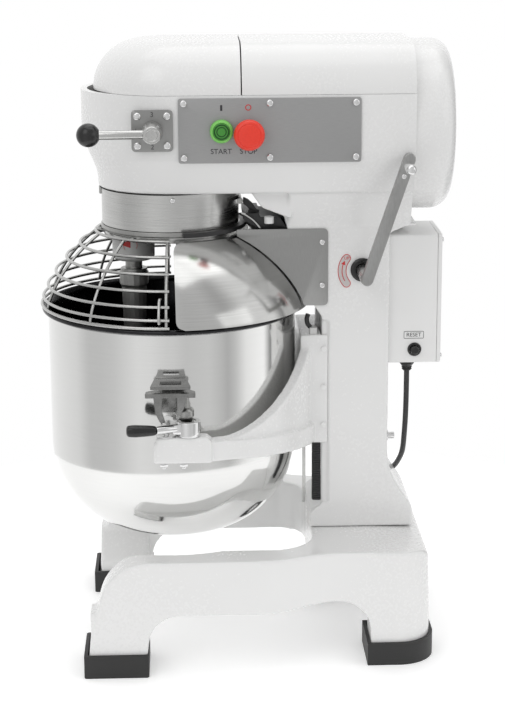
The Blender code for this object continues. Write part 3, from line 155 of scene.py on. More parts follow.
MOTOR_PAINT = finish("motor_body", (0.17, 0.17, 0.18), (0.09, 0.09, 0.09), 0.45, 0.7, grain=120,
                stretch=(1, 20, 1), bump=0.25, grain_mix=0.5)
RUBBER = finish("foot_rubber", (0.016, 0.016, 0.016), (0.028, 0.028, 0.027), 0.55, grain=900, bump=0.20,
                grain_mix=0.5, rough_span=0.10)
BLACK = finish("black_plastic", (0.010, 0.010, 0.010), (0.022, 0.022, 0.022), 0.22, grain=600, bump=0.05,
               grain_mix=0.3, rough_span=0.06)
BLACK_PART = finish("black_bracket", (0.016, 0.016, 0.017), (0.035, 0.035, 0.035), 0.40, grain=700, bump=0.15,
                    grain_mix=0.4)
RACK_BLACK = finish("rack_black", (0.030, 0.030, 0.031), (0.075, 0.075, 0.075), 0.45, 0.4, grain=500,
                    bump=0.3, grain_mix=0.5)
CABLE = finish("cable_sheath", (0.030, 0.030, 0.031), (0.045, 0.045, 0.045), 0.50, grain=900, bump=0.15,
               grain_mix=0.4)
GREEN = finish("green_cap", (0.055, 0.30, 0.035), (0.045, 0.24, 0.03), 0.34,
                grain=500, bump=0.05, grain_mix=0.3)
# Darker green for the START cap's two grooves: painted shade in the recesses.
GREEN_GROOVE_SHADE = finish("green_groove_painted_shade", (0.012, 0.10, 0.012), (0.010, 0.07, 0.01), 0.45, grain=500, bump=0.05,
                    grain_mix=0.3)
LIME = finish("green_bezel", (0.22, 0.62, 0.13), (0.17, 0.52, 0.10), 0.36,
              grain=500, bump=0.05, grain_mix=0.3)
RED = finish("red_cap", (0.86, 0.045, 0.022), (0.72, 0.035, 0.018), 0.36, grain=450, bump=0.06, grain_mix=0.3)
RED_PRINT = finish("red_print", (0.62, 0.03, 0.03), (0.50, 0.02, 0.02), 0.45,
                   grain=900, bump=0.03, grain_mix=0.3)
DARK_PRINT = finish("dark_print", (0.022, 0.022, 0.026), (0.04, 0.04, 0.045), 0.45, grain=900, bump=0.03,
                    grain_mix=0.3)
LABEL = finish("label_grey", (0.60, 0.57, 0.56), (0.52, 0.49, 0.48), 0.45,
               grain=700, bump=0.05, grain_mix=0.3)
SEAM = finish("seam_black", (0.012, 0.012, 0.012), (0.02, 0.02, 0.02), 0.60,
              grain=700, bump=0.10, grain_mix=0.3)


# Meshes -------------------------------------------------------------------------------

def close(mesh, sharp=SHARP):
    """Outward faces, smooth shading, and sharp edges where faces meet at a steep angle."""
    bmesh.ops.recalc_face_normals(mesh, faces=mesh.faces)
    for face in mesh.faces:
        face.smooth = True
    for edge in mesh.edges:
        edge.smooth = len(edge.link_faces) == 2 and edge.calc_face_angle(0.0) < sharp
    return mesh


def loft(sections, closed=False, caps=True):
    """Body through rings of points that all have the same count."""
    mesh = bmesh.new()
    rings = [[mesh.verts.new(point) for point in section] for section in sections]
    count = len(rings[0])
    pairs = list(zip(rings, rings[1:]))
    if closed:
        pairs.append((rings[-1], rings[0]))
    for lower, upper in pairs:
        for i in range(count):
            j = (i + 1) % count
            mesh.faces.new((lower[i], lower[j], upper[j], upper[i]))
    if caps and not closed:
        mesh.faces.new(rings[0])
        mesh.faces.new(rings[-1])
    return mesh


def turned(profile, frame_matrix=UPRIGHT, steps=96):
    """Solid turned about local Z from a closed loop of (radius, height)."""
    mesh = bmesh.new()
    rings = []
    centre = {}
    for i in range(steps):
        angle = math.tau * i / steps
        ring = []
        for k, (radius, height) in enumerate(profile):
            if radius < 1e-7:
                if k not in centre:
                    centre[k] = mesh.verts.new(frame_matrix @ Vector((0, 0, height)))
                ring.append(centre[k])
            else:
                point = Vector((radius * math.cos(angle), radius * math.sin(angle), height))
                ring.append(mesh.verts.new(frame_matrix @ point))
        rings.append(ring)
    count = len(profile)
    for i in range(steps):
        here = rings[i]
        after = rings[(i + 1) % steps]
        for k in range(count):
            m = (k + 1) % count
            corners = []
            for corner in (here[k], after[k], after[m], here[m]):
                if corner not in corners:
                    corners.append(corner)
            if len(corners) > 2:
                mesh.faces.new(corners)
    return mesh


def rect(a0, b0, a1, b1):
    """Outline of a rectangle between two corners."""
    return [(a0, b0), (a1, b0), (a1, b1), (a0, b1)]


def soft_path(points, radius, steps=4):
    """Closed outline with its corners rounded; a point may carry its own radius."""
    made = []
    count = len(points)
    for i in range(count):
        here = Vector(points[i][:2])
        own = points[i][2] if len(points[i]) > 2 else radius
        back = Vector(points[i - 1][:2]) - here
        ahead = Vector(points[(i + 1) % count][:2]) - here
        reach = min(own, 0.45 * back.length, 0.45 * ahead.length)
        if reach < 1e-6:
            made.append(tuple(here))
            continue
        start = here + back.normalized() * reach
        end = here + ahead.normalized() * reach
        for k in range(steps + 1):
            t = k / steps
            made.append(tuple(start * (1 - t) ** 2 + here * 2 * t * (1 - t) + end * t ** 2))
    return made


def soft_turned(profile, radius, frame_matrix=UPRIGHT, steps=96, corner=3):
    """Turned body whose corners off the axis are rounded."""
    marked = [(r, z, 0.0) if r < 1e-7 else (r, z, rest[0] if rest else radius) for r, z, *rest in profile]
    return turned(soft_path(marked, radius, corner), frame_matrix, steps)


def placed(axis, a, b, c):
    """Point with the outline's two coordinates and the one along the axis, in order."""
    if axis == "X":
        return Vector((c, a, b))
    if axis == "Y":
        return Vector((a, c, b))
    return Vector((a, b, c))


def slab(outline, axis, low, high, edge=0.0, segments=3):
    """Outline pushed along an axis, its rims rounded by the edge width."""
    mesh = loft([[placed(axis, a, b, c) for a, b in outline] for c in (low, high)])
    if edge:
        mesh.faces.ensure_lookup_table()
        caps = mesh.faces[-2:]
        rims = [e for e in mesh.edges if any(f in caps for f in e.link_faces)]
        bmesh.ops.bevel(mesh, geom=rims, offset=edge, segments=segments, affect="EDGES", profile=0.5,
                        clamp_overlap=True)
    return mesh


def block(low, high, edge=0.001, segments=3):
    """Box with all its edges rounded."""
    corners = rect(low[0], low[1], high[0], high[1])
    mesh = loft([[(x, y, z) for x, y in corners] for z in (low[2], high[2])])
    if edge:
        bmesh.ops.bevel(mesh, geom=list(mesh.edges), offset=edge, segments=segments, affect="EDGES",
                        profile=0.5)
    return mesh


def mirrored(sign, low, high):
    """X range on one side, in order, from the one on the right side."""
    return sorted((sign * low, sign * high))


def sided(sign, low, high, edge=0.001, segments=3):
    """Block on one side: its X range is given for the right side."""
    x0, x1 = mirrored(sign, low[0], high[0])
    return block((x0, low[1], low[2]), (x1, high[1], high[2]), edge, segments)


def sheet(outside, inside):
    """Closed sheet between two equal grids of points."""
    mesh = bmesh.new()
    grids = [[[mesh.verts.new(point) for point in row] for row in grid] for grid in (outside, inside)]
    borders = []
    for grid in grids:
        for a, b in zip(grid, grid[1:]):
            for i in range(len(a) - 1):
                mesh.faces.new((a[i], a[i + 1], b[i + 1], b[i]))
        borders.append(grid[0] + [r[-1] for r in grid[1:]] + grid[-1][-2::-1] + [r[0] for r in grid[-2:0:-1]])
    out, back = borders
    for i in range(len(out)):
        j = (i + 1) % len(out)
        mesh.faces.new((out[i], out[j], back[j], back[i]))
    return mesh


def aim(start, end):
    """Frame at a point with its Z towards another."""
    run = Vector(end) - Vector(start)
    return Matrix.Translation(Vector(start)) @ run.to_track_quat("Z", "Y").to_matrix().to_4x4()


def bar(start, end, radius, steps=32, edge=0.0006):
    """Round bar between two points."""
    length = (Vector(end) - Vector(start)).length
    return soft_turned(rect(0, 0, radius, length), edge, aim(start, end), steps)


def at(x, y, z):
    """Frame moved to a place."""
    return Matrix.Translation((x, y, z))


def smooth_line(route, pieces):
    """Points on a Catmull-Rom curve through the route."""
    points = []
    for i in range(len(route) - 1):
        p0, p1, p2, p3 = (Vector(route[min(max(k, 0), len(route) - 1)]) for k in range(i - 1, i + 3))
        for k in range(pieces):
            t = k / pieces
            points.append(0.5 * (2 * p1 + (p2 - p0) * t + (2 * p0 - 5 * p1 + 4 * p2 - p3) * t ** 2
                                 + (3 * p1 - p0 - 3 * p2 + p3) * t ** 3))
    return points + [Vector(route[-1])]


def wire(points, radius, steps=12, closed=False):
    """Round wire through points."""
    points = [Vector(point) for point in points]
    rings = []
    side = None
    last = len(points) - 1
    for i, point in enumerate(points):
        before = points[i - 1] if closed or i else points[0]
        after = points[(i + 1) % len(points)] if closed or i < last else points[last]
        along = (after - before).normalized()
        if side is None:
            side = along.orthogonal().normalized()
        side = (side - along * side.dot(along)).normalized()
        other = along.cross(side)
        turns = [math.tau * k / steps for k in range(steps)]
        rings.append([point + radius * (math.cos(a) * side + math.sin(a) * other) for a in turns])
    return loft(rings, closed)


def arc(cx, cy, radius, start, end, steps):
    """Points on an arc, angles in degrees."""
    angles = [math.radians(start + (end - start) * i / steps) for i in range(steps + 1)]
    return [(cx + radius * math.cos(a), cy + radius * math.sin(a)) for a in angles]


def merged(*meshes):
    """One mesh from several, which may touch or overlap."""
    whole = bmesh.new()
    for part in meshes:
        data = bpy.data.meshes.new("part")
        part.to_mesh(data)
        part.free()
        whole.from_mesh(data)
        bpy.data.meshes.remove(data)
    return whole


def piece(name, mesh, body, material, stands_for=(), sharp=SHARP, tint=None):
    """Object from a mesh, riding on its body."""
    close(mesh, sharp)
    data = bpy.data.meshes.new(name)
    mesh.to_mesh(data)
    mesh.free()
    data.transform(Matrix.Translation(SHIFT))
    made = bpy.data.objects.new(name, data)
    bpy.context.scene.collection.objects.link(made)
    return dress(made, body, material, stands_for, tint)


def dress(made, body, material, stands_for=(), tint=None):
    """Finish in its material slots, body and the CAD nodes that the object stands for."""
    made.data.materials.clear()
    made.data.materials.append(material)
    if tint:
        second, test = tint
        made.data.materials.append(second)
        for face in made.data.polygons:
            if test(face.center - SHIFT, face.normal):
                face.material_index = 1
    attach(made, body)
    nodes = (stands_for,) if isinstance(stands_for, str) else tuple(stands_for)
    if nodes:
        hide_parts(*nodes)
    return made


def scratch(mesh):
    """Helper object for modifiers, removed by settle()."""
    bmesh.ops.recalc_face_normals(mesh, faces=mesh.faces)
    data = bpy.data.meshes.new("helper")
    mesh.to_mesh(data)
    mesh.free()
    made = bpy.data.objects.new("helper", data)
    bpy.context.scene.collection.objects.link(made)
    return made


def settle(target, tools=()):
    """Mesh of an object with its modifiers applied; the helpers go."""
    bpy.context.view_layer.update()
    seen = target.evaluated_get(bpy.context.evaluated_depsgraph_get())
    mesh = bmesh.new()
    mesh.from_mesh(seen.to_mesh())
    for old in (target, *tools):
        data = old.data
        bpy.data.objects.remove(old)
        bpy.data.meshes.remove(data)
    return mesh


def carve(mesh, joins=(), cuts=(), keep=None, cast=None, smooth=6):
    """Boolean work on a mesh; cast gives a voxel size, for the soft edges of a casting."""
    target = scratch(mesh)
    tools = []
    for operation, group in (("UNION", joins), ("INTERSECT", (keep,) if keep else ()), ("DIFFERENCE", cuts)):
        for tool in group:
            helper = scratch(tool)
            modifier = target.modifiers.new("boolean", "BOOLEAN")
            modifier.operation = operation
            modifier.solver = "EXACT"
            modifier.object = helper
            tools.append(helper)
    if cast:
        remesh = target.modifiers.new("skin", "REMESH")
        remesh.mode = "VOXEL"
        remesh.voxel_size = cast
        relax = target.modifiers.new("relax", "SMOOTH")
        relax.factor = 0.5
        relax.iterations = smooth
    return settle(target, tools)


# Fasteners and print ------------------------------------------------------------------

def screw_mesh(spot, axis_frame, radius, height):
    """Round head with a cross recess, standing on local Z."""
    steps = 32
    rings = []
    for scale, level, cross in ((1.0, 0.0, False), (1.0, 0.30, False), (0.93, 0.62, False),
                                (0.80, 0.86, False), (0.62, 0.98, False), (0.50, 1.0, True),
                                (0.46, 0.35, True)):
        ring = []
        for i in range(steps):
            angle = math.tau * i / steps
            size = radius * scale
            if cross:
                size *= 1.0 if (i + 1) % (steps // 4) <= 2 else 0.36
            corner = Vector((size * math.cos(angle), size * math.sin(angle), height * level))
            ring.append(Vector(spot) + axis_frame @ corner)
        rings.append(ring)
    return loft(rings)


def screws(name, spots, axis_frame, radius, height, body):
    """A group of equal screws as one piece."""
    mesh = merged(*[screw_mesh(spot, axis_frame, radius, height) for spot in spots])
    return piece(name, mesh, body, CHROME, sharp=math.radians(50))


def lettering(name, text, size, centre, x, body, material=None):
    """Generic word or sign printed on a face that looks towards +X."""
    curve = bpy.data.curves.new(name, "FONT")
    curve.body = text
    curve.size = size
    curve.align_x = "CENTER"
    curve.align_y = "CENTER"
    curve.extrude = 0.00008
    source = bpy.data.objects.new(name + "_type", curve)
    bpy.context.scene.collection.objects.link(source)
    bpy.context.view_layer.update()
    data = bpy.data.meshes.new_from_object(source.evaluated_get(bpy.context.evaluated_depsgraph_get()))
    bpy.data.objects.remove(source)
    frame_matrix = Matrix(((0, 0, 1, x), (1, 0, 0, centre[0]), (0, 1, 0, centre[1]), (0, 0, 0, 1)))
    data.transform(Matrix.Translation(SHIFT) @ frame_matrix)
    made = bpy.data.objects.new(name, data)
    bpy.context.scene.collection.objects.link(made)
    return dress(made, body, material or DARK_PRINT)


def hexagon(spot, radius, low, high):
    """Hexagon nut standing on Z."""
    turns = [math.tau * i / 6 for i in range(6)]
    outline = [(spot[0] + radius * math.cos(a), spot[1] + radius * math.sin(a)) for a in turns]
    return slab(outline, "Z", low, high, 0.0004, 2)


# Base ---------------------------------------------------------------------------------

RAIL_IN, RAIL_OUT, REAR_OUT = 0.140, 0.182, 0.158
BASE_FRONT, BASE_REAR, BASE_TOP = -0.111, 0.325, 0.150


def base_plan():
    """Plan of the base: two rails in front of one block, narrower at the rear."""
    half = [(RAIL_IN, BASE_FRONT), (RAIL_OUT, BASE_FRONT), (RAIL_OUT, 0.105)]
    for i in range(1, 13):
        share = i / 12
        narrowed = (RAIL_OUT - REAR_OUT) * (1 - math.cos(math.pi * share)) / 2
        half.append((RAIL_OUT - narrowed, 0.105 + 0.100 * share))
    half += arc(REAR_OUT - 0.045, BASE_REAR - 0.045, 0.045, 0, 90, 12)
    inner = [(RAIL_IN - 0.055, 0.176)] + arc(RAIL_IN - 0.055, 0.121, 0.055, 75, 0, 12)
    left = [(-x, y) for x, y in reversed(half)]
    return half + left + [(-x, y) for x, y in reversed(inner)] + inner


def base_side():
    """Side outline of the base with its low arch between front and rear legs."""
    points = [(BASE_FRONT, 0.0065), (BASE_FRONT + 0.004, 0.050)]
    points += arc(-0.034, 0.088, 0.062, 168, 90, 14)
    points += [(0.250, BASE_TOP)] + arc(BASE_REAR - 0.018, BASE_TOP - 0.016, 0.014, 90, 10, 6)
    points += [(BASE_REAR, 0.042), (BASE_REAR, 0.0065), (0.247, 0.0065), (0.2465, 0.042)]
    points += arc(0.205, 0.044, 0.0415, 4, 98, 12)
    points += [(0.170, 0.0830), (0.140, 0.0800), (0.110, 0.0785)]
    points += arc(BASE_FRONT + 0.072 + 0.0432, 0.040, 0.0385, 92, 176, 10)
    points += [(BASE_FRONT + 0.072, 0.0065)]
    return points


def bowl_outer():
    """Outer outline of the bowl, from its foot up to the rim bead."""
    points = [(0, 0.1420), (0.020, 0.1420), (0.040, 0.1432)]
    for i in range(1, 25):
        angle = math.radians(90 * i / 24)
        points.append((0.040 + 0.119 * math.sin(angle), 0.262 - 0.1188 * math.cos(angle)))
    return points + [(0.159, 0.300), (0.159, 0.360), (0.159, 0.4330)]


def build_base():
    """Casting with two front rails and two rear legs, hollow below the column."""
    body = slab(base_plan(), "Z", 0.0065, BASE_TOP)
    toes = []
    hollows = []
    for _, sign in SIDES:
        low, top, wide = sign * (RAIL_IN - 0.028), sign * (RAIL_IN + 0.004), sign * (RAIL_OUT - 0.0035)
        outline = [(low, 0.0065), (wide, 0.0065), (wide, 0.084), (top, 0.084), (low, 0.045)]
        toes.append(slab(outline, "Y", BASE_FRONT + 0.0045, BASE_FRONT + 0.0712))
        hollows.append(sided(sign, (0.004, 0.215, -0.01), (0.100, 0.300, 0.138), 0))
    scoop = [(r + 0.002, z - 0.067) for r, z in bowl_outer()]
    scoop = [(0, scoop[0][1])] + scoop[1:] + [(0, scoop[-1][1])]
    gap = block((-0.088, 0.1, -0.01), (0.088, 0.4, 0.088), 0)
    shape = carve(body, keep=slab(base_side(), "X", -0.2, 0.2))
    shape = carve(shape, joins=toes, cuts=hollows + [turned(scoop), gap], cast=VOXEL, smooth=9)
    piece("base_shell", shape, "frame", ENAMEL, "base_casting", sharp=math.radians(60))


def build_feet():
    """Four rubber cups; the rear pair follows the rounded legs."""
    for label, sign in SIDES:
        low, high = mirrored(sign, 0.1074, 0.1866)
        corners = rect(low, BASE_FRONT - 0.0046, high, BASE_FRONT + 0.0766)
        pocket = rect(low + 0.0048, BASE_FRONT, high - 0.0048, BASE_FRONT + 0.0722)
        rear = [(0.084, 0.242), (REAR_OUT + 0.0045, 0.242)]
        rear += arc(REAR_OUT - 0.0425, BASE_REAR - 0.0425, 0.047, 0, 90, 16) + [(0.084, BASE_REAR + 0.0045)]
        inside = [(0.0885, 0.2465), (REAR_OUT + 0.0003, 0.2465)]
        inside += (arc(REAR_OUT - 0.0425, BASE_REAR - 0.0425, 0.0426, 0, 90, 16)
                   + [(0.0885, BASE_REAR + 0.0003)])
        for end, outside, room in (("front", soft_path(corners, 0.0022), soft_path(pocket, 0.002)),
                                   ("rear", [(sign * x, y) for x, y in rear],
                                    [(sign * x, y) for x, y in inside])):
            cup = slab(outside, "Z", 0.0, 0.0295, 0.0012 if end == "front" else 0.0)
            cup = carve(cup, cuts=[slab(room, "Z", 0.0062, 0.06)])
            piece("foot_cup_%s_%s" % (end, label), cup, "frame", RUBBER, "foot_%s_%s" % (end, label))


# Frame --------------------------------------------------------------------------------

NOSE = ((0.5942, 0.0903), (0.604, 0.0907), (0.614, 0.0920), (0.622, 0.0945), (0.630, 0.0980), (0.638, 0.1015),
        (0.646, 0.1045), (0.654, 0.1070), (0.662, 0.1087), (0.670, 0.1096), (0.680, 0.1098), (0.727, 0.1098))


def side_half(z):
    """Half width of the head at a height: its lower sides lean in."""
    share = min(1.0, max(0.0, (0.641 - z) / 0.047))
    return 0.1098 - 0.0218 * share


def head_plan(z, nose, inset=0.0, back=0.300):
    """Plan of the head at a height: straight sides and a round nose."""
    half = side_half(z) - inset
    points = [(half, back)]
    for i in range(49):
        angle = math.radians(-180 * i / 48)
        points.append((half * math.cos(angle), (nose - inset) * math.sin(angle)))
    points.append((-half, back))
    return [Vector((x, y, z)) for x, y in points]


def column_side(inset=0.0):
    """Side outline of the column, its foot flared to the rear."""
    low = 0.1503 + inset
    back = 0.275 - inset
    flare = smooth_line([(0.309 - inset, 0.150, 0), (0.3075 - inset, 0.176, 0), (back + 0.0195, 0.197, 0),
                         (back + 0.006, 0.222, 0), (back, 0.252, 0), (back, 0.300, 0)], 4)
    points = [(0.175 + inset, low)] + [(p.x, max(low, p.y)) for p in flare]
    points += [(back, 0.538), (0.301 - inset, 0.549 + inset), (0.301 - inset, 0.601 - inset),
               (0.130 + inset, 0.601 - inset), (0.146 + inset, 0.546), (0.1485 + inset, 0.522),
               (0.156 + inset, 0.494), (0.167 + inset, 0.466), (0.1785 + inset, 0.448),
               (0.190 + inset, 0.430), (0.190 + inset, 0.183 - inset), (0.175 + inset, 0.171 - inset)]
    return points


def build_frame():
    """Hollow casting of head, neck and column."""
    levels = [head_plan(z, nose, back=0.308) for z, nose in NOSE]
    inner = [head_plan(0.6034, 0.0905, 0.008, 0.2942)]
    inner += [head_plan(z, nose, 0.008, 0.2942) for z, nose in NOSE if z > 0.61]
    inner += [[p + Vector((0, 0, 0.01)) for p in inner[-1]]]
    neck = slab([(-0.0600, 0.547), (0.0600, 0.547), (0.1098, 0.641), (-0.1098, 0.641)], "Y", 0.1465, 0.308)
    neck_room = slab([(-0.0520, 0.547), (0.0520, 0.547), (0.100, 0.641), (-0.100, 0.641)], "Y", 0.170, 0.292)
    brow = slab(soft_path([(0.114, 0.574), (0.150, 0.560), (0.150, 0.611), (0.088, 0.611)], 0.002), "X",
                -0.074, 0.074)
    column = slab(column_side(), "X", -0.060, 0.060)
    cuts = [loft(inner), slab(column_side(0.008), "X", -0.052, 0.052), neck_room,
            bar((0, 0.288, CAP_Z), (0, 0.308, CAP_Z), 0.0955, 64, 0),
            bar((0, 0, 0.58), (0, 0, 0.62), 0.0203, 48, 0),
            block((-0.0105, 0.150, 0.290), (0.0105, 0.205, 0.442), 0),
            bar((-0.0588, LIFT_Y, LIFT_Z), (0.07, LIFT_Y, LIFT_Z), 0.0086, 32, 0),
            bar((0.09, -0.0193, 0.676), (0.12, -0.0193, 0.676), 0.0106, 32, 0)]
    for y, z in ((0.064, 0.675), (0.097, 0.672)):
        cuts.append(bar((0.09, y, z), (0.12, y, z), 0.0078, 24, 0))
    for _, sign in SIDES:
        cuts.append(sided(sign, (0.0555, 0.180, 0.184), (0.07, 0.1985, 0.427), 0))
    shape = carve(loft(levels), joins=[neck, brow, column], cuts=cuts, cast=VOXEL, smooth=5)
    trims = [block((-0.2, -0.2, 0.7170), (0.2, 0.4, 0.8), 0), block((-0.2, 0.3001, 0.55), (0.2, 0.4, 0.8), 0)]
    shape = carve(shape, cuts=trims)
    piece("frame_shell", shape, "frame", ENAMEL, "frame_casting", sharp=math.radians(60))


def cover_levels(inset, steps=14):
    """Levels of the front cover from its foot to its flat top."""
    levels = []
    width = 0.1088 - inset
    for i in range(steps + 1):
        angle = math.radians(90 * i / steps)
        share = 1 - math.cos(angle)
        side = width - (width - 0.052) * share
        reach = 0.094 - inset - 0.060 * share
        z = COVER_FOOT + (HEAD_TOP - inset - COVER_FOOT) * math.sin(angle)
        points = [(side, 0.0877)]
        for k in range(49):
            turn = math.radians(-180 * k / 48)
            points.append((side * math.cos(turn), reach * math.sin(turn)))
        points.append((-side, 0.0877))
        levels.append([Vector((x, y, z)) for x, y in points])
    return levels


def rear_section(inset, steps=14):
    """Cross-section of the rear top cover: flat top with round shoulders."""
    width = 0.1088 - inset
    points = []
    for i in range(steps + 1):
        angle = math.radians(90 * i / steps)
        points.append((width - (width - 0.052) * (1 - math.cos(angle)),
                       COVER_FOOT + (HEAD_TOP - inset - COVER_FOOT) * math.sin(angle)))
    return points + [(-x, z) for x, z in reversed(points)]


def build_covers():
    """Front and rear top covers, rear cap and the plug in the front cover."""
    foot = [[Vector((p.x, p.y, 0.707)) for p in cover_levels(0.003)[0]]]
    cover = carve(loft(cover_levels(0.0)), cuts=[loft(foot + cover_levels(0.003))])
    piece("front_cover_shell", cover, "frame", ENAMEL, "front_top_cover", sharp=math.radians(32))
    inside = rear_section(0.003)
    inside = [(inside[0][0], 0.707)] + inside + [(-inside[0][0], 0.707)]
    cover = slab(rear_section(0.0), "Y", 0.0893, 0.300, 0.0008, 2)
    cover = carve(cover,
                  cuts=[slab(inside, "Y", 0.078, 0.297),
                        bar((0, 0.29, CAP_Z), (0, 0.31, CAP_Z), 0.0955, 64, 0)])
    piece("rear_cover_shell", cover, "frame", ENAMEL, "rear_top_cover", sharp=math.radians(32))
    depth = 0.0517
    outline = ([(0.107, 0)] + arc(0.107 - 0.024, depth - 0.024, 0.024, 0, 90, 14)
               + [(0, depth), (0, depth - 0.003)])
    outline += arc(0.107 - 0.024, depth - 0.024, 0.021, 90, 0, 8) + [(0.104, 0)]
    piece("rear_cap_shell", turned(outline, at(0, 0.3003, CAP_Z) @ Y_AXIS, 96), "frame", ENAMEL,
          "rear_end_cap", sharp=math.radians(32))
    plug = soft_turned(rect(0, 0.7700, 0.0100, 0.7766), 0.0012, at(0, 0.049, 0), 48)
    piece("top_plug", plug, "frame", SHEET_ENAMEL)


# Controls -----------------------------------------------------------------------------

START, STOP, SELECTOR = (0.064, 0.675), (0.097, 0.672), (-0.0193, 0.676)
PANEL_FACE = 0.1122
PLATE_FACE = 0.1140


def build_panel():
    """Control panel with its screws, words and signs."""
    panel = slab(soft_path(rect(0.012, 0.636, 0.233, 0.714), 0.003), "X", 0.1103, PANEL_FACE, 0.0006, 2)
    holes = [bar((0.09, y, z), (0.13, y, z), 0.0075, 24, 0) for y, z in (START, STOP)]
    piece("panel_plate", carve(panel, cuts=holes), "frame", PANEL, "control_panel")
    spots = [(PANEL_FACE, y, z) for y in (0.0185, 0.1225, 0.2265) for z in (0.7080, 0.6425)]
    screws("panel_screws", spots, X_AXIS, 0.0044, 0.0026, "frame")
    lettering("start_word", "START", 0.0088, (0.0635, 0.6500), PANEL_FACE + 0.0001, "frame")
    lettering("stop_word", "STOP", 0.0088, (0.0965, 0.6500), PANEL_FACE + 0.0001, "frame")
    sign = slab(rect(0.0627, 0.6993, 0.0653, 0.7062), "X", PANEL_FACE, PANEL_FACE + 0.0002)
    piece("on_sign", sign, "frame", DARK_PRINT)
    circle = turned(rect(0.0026, 0, 0.0037, 0.0002), at(PANEL_FACE, 0.0965, 0.7030) @ X_AXIS, 40)
    piece("off_sign", circle, "frame", RED_PRINT)


def build_buttons():
    """START button in its bezel and STOP button on its collar."""
    face = PANEL_FACE + 0.0003
    y, z = START
    here = at(face, y, z) @ X_AXIS
    bezel = soft_turned([(0.0106, 0), (0.0140, 0), (0.0140, 0.0070, 0.002), (0.0116, 0.0090),
                         (0.0106, 0.0090)],
                        0.0006, here, 64)
    piece("start_bezel_ring", bezel, "frame", LIME, "start_bezel")
    cap = [(0, -0.018), (0.006, -0.018), (0.006, 0.0045), (0.0103, 0.0045), (0.0103, 0.0090),
           (0.0092, 0.0098),
           (0.0090, 0.0088), (0.0080, 0.0088), (0.0078, 0.0098), (0.0062, 0.0098), (0.0060, 0.0090),
           (0.0052, 0.0090), (0.0050, 0.0096), (0, 0.0096)]
    # The cap's two grooves get the darker green as painted shade.
    piece("start_cap", soft_turned(cap, 0.0002, here, 64), "start_button", GREEN, "start_button",
          tint=(GREEN_GROOVE_SHADE, lambda c, n: c.x > face + 0.0080 and (
              0.0076 < math.hypot(c.y - y, c.z - z) < 0.0093
              or 0.0049 < math.hypot(c.y - y, c.z - z) < 0.0063)))
    y, z = STOP
    here = at(face, y, z) @ X_AXIS
    collar = soft_turned(rect(0.0094, 0, 0.0125, 0.006), 0.0006, here, 64)
    piece("stop_collar_ring", collar, "frame", BLACK, "stop_collar")
    cap = [(0, -0.018), (0.006, -0.018), (0.006, 0.0056), (0.0091, 0.0056), (0.0091, 0.0122),
           (0.0183, 0.0140),
           (0.0190, 0.0185, 0.003), (0.0172, 0.0236, 0.003), (0.0146, 0.0250), (0.0138, 0.0243),
           (0.0130, 0.0252),
           (0.0080, 0.0262, 0.004), (0, 0.0265)]
    piece("stop_cap", soft_turned(cap, 0.0008, here, 72), "stop_button", RED, "stop_button")


def build_selector():
    """Speed selector: plate, marks, hub with lever, and ball."""
    y, z = SELECTOR
    half = 0.025
    plate = slab(soft_path(rect(y - half, z - half, y + half, z + half),
                           0.005), "X", 0.1103, PLATE_FACE, 0.0008, 2)
    plate = carve(plate, cuts=[bar((0.1, y, z), (0.13, y, z), 0.0103, 40, 0)])
    piece("selector_plate", plate, "frame", SATIN, "shift_plate")
    spots = [(PLATE_FACE, y + dy, z + dz) for dy in (-0.0178, 0.0178) for dz in (-0.0178, 0.0178)]
    screws("plate_screws", spots, X_AXIS, 0.0048, 0.0030, "frame")
    for sign, dy, dz in (("3", 0.0, 0.0195), ("2", 0.0, -0.0195), ("1", -0.0195, 0.0)):
        lettering("speed_mark_" + sign, sign, 0.0085, (y + dy, z + dz), PLATE_FACE + 0.0001, "frame")
    here = at(0.110, y, z) @ X_AXIS
    hub = [(0, -0.050), (0.010, -0.050), (0.010, 0.0045), (0.0130, 0.0045), (0.0130, 0.0290, 0.003),
           (0.0108, 0.0440, 0.002), (0.0100, 0.0460, 0.001), (0.0072, 0.0460), (0.0066, 0.0450), (0, 0.0450)]
    lever = merged(soft_turned(hub, 0.0010, here, 64),
                   bar((0.146, y - 0.004, z), (0.146, y - 0.0676, z), 0.0055, 32),
                   block((0.0605, y - 0.007, z - 0.0125), (0.066, y + 0.007, z + 0.004), 0.0008),
                   bar((0.053, y, z - 0.0038), (0.064, y, z - 0.0038), 0.0025, 16, 0.0003))
    piece("selector_arm", lever, "selector", STEEL, "selector_lever")
    ball = turned(arc(0, 0, 0.0142, -90, 90, 32), at(0.146, y - 0.0751, z), 64)
    ball = carve(ball, cuts=[bar((0.146, y - 0.0411, z), (0.146, y - 0.0683, z), 0.0058, 32, 0)])
    piece("selector_ball", ball, "selector", BLACK, "selector_knob", sharp=math.radians(50))


# Head parts ---------------------------------------------------------------------------

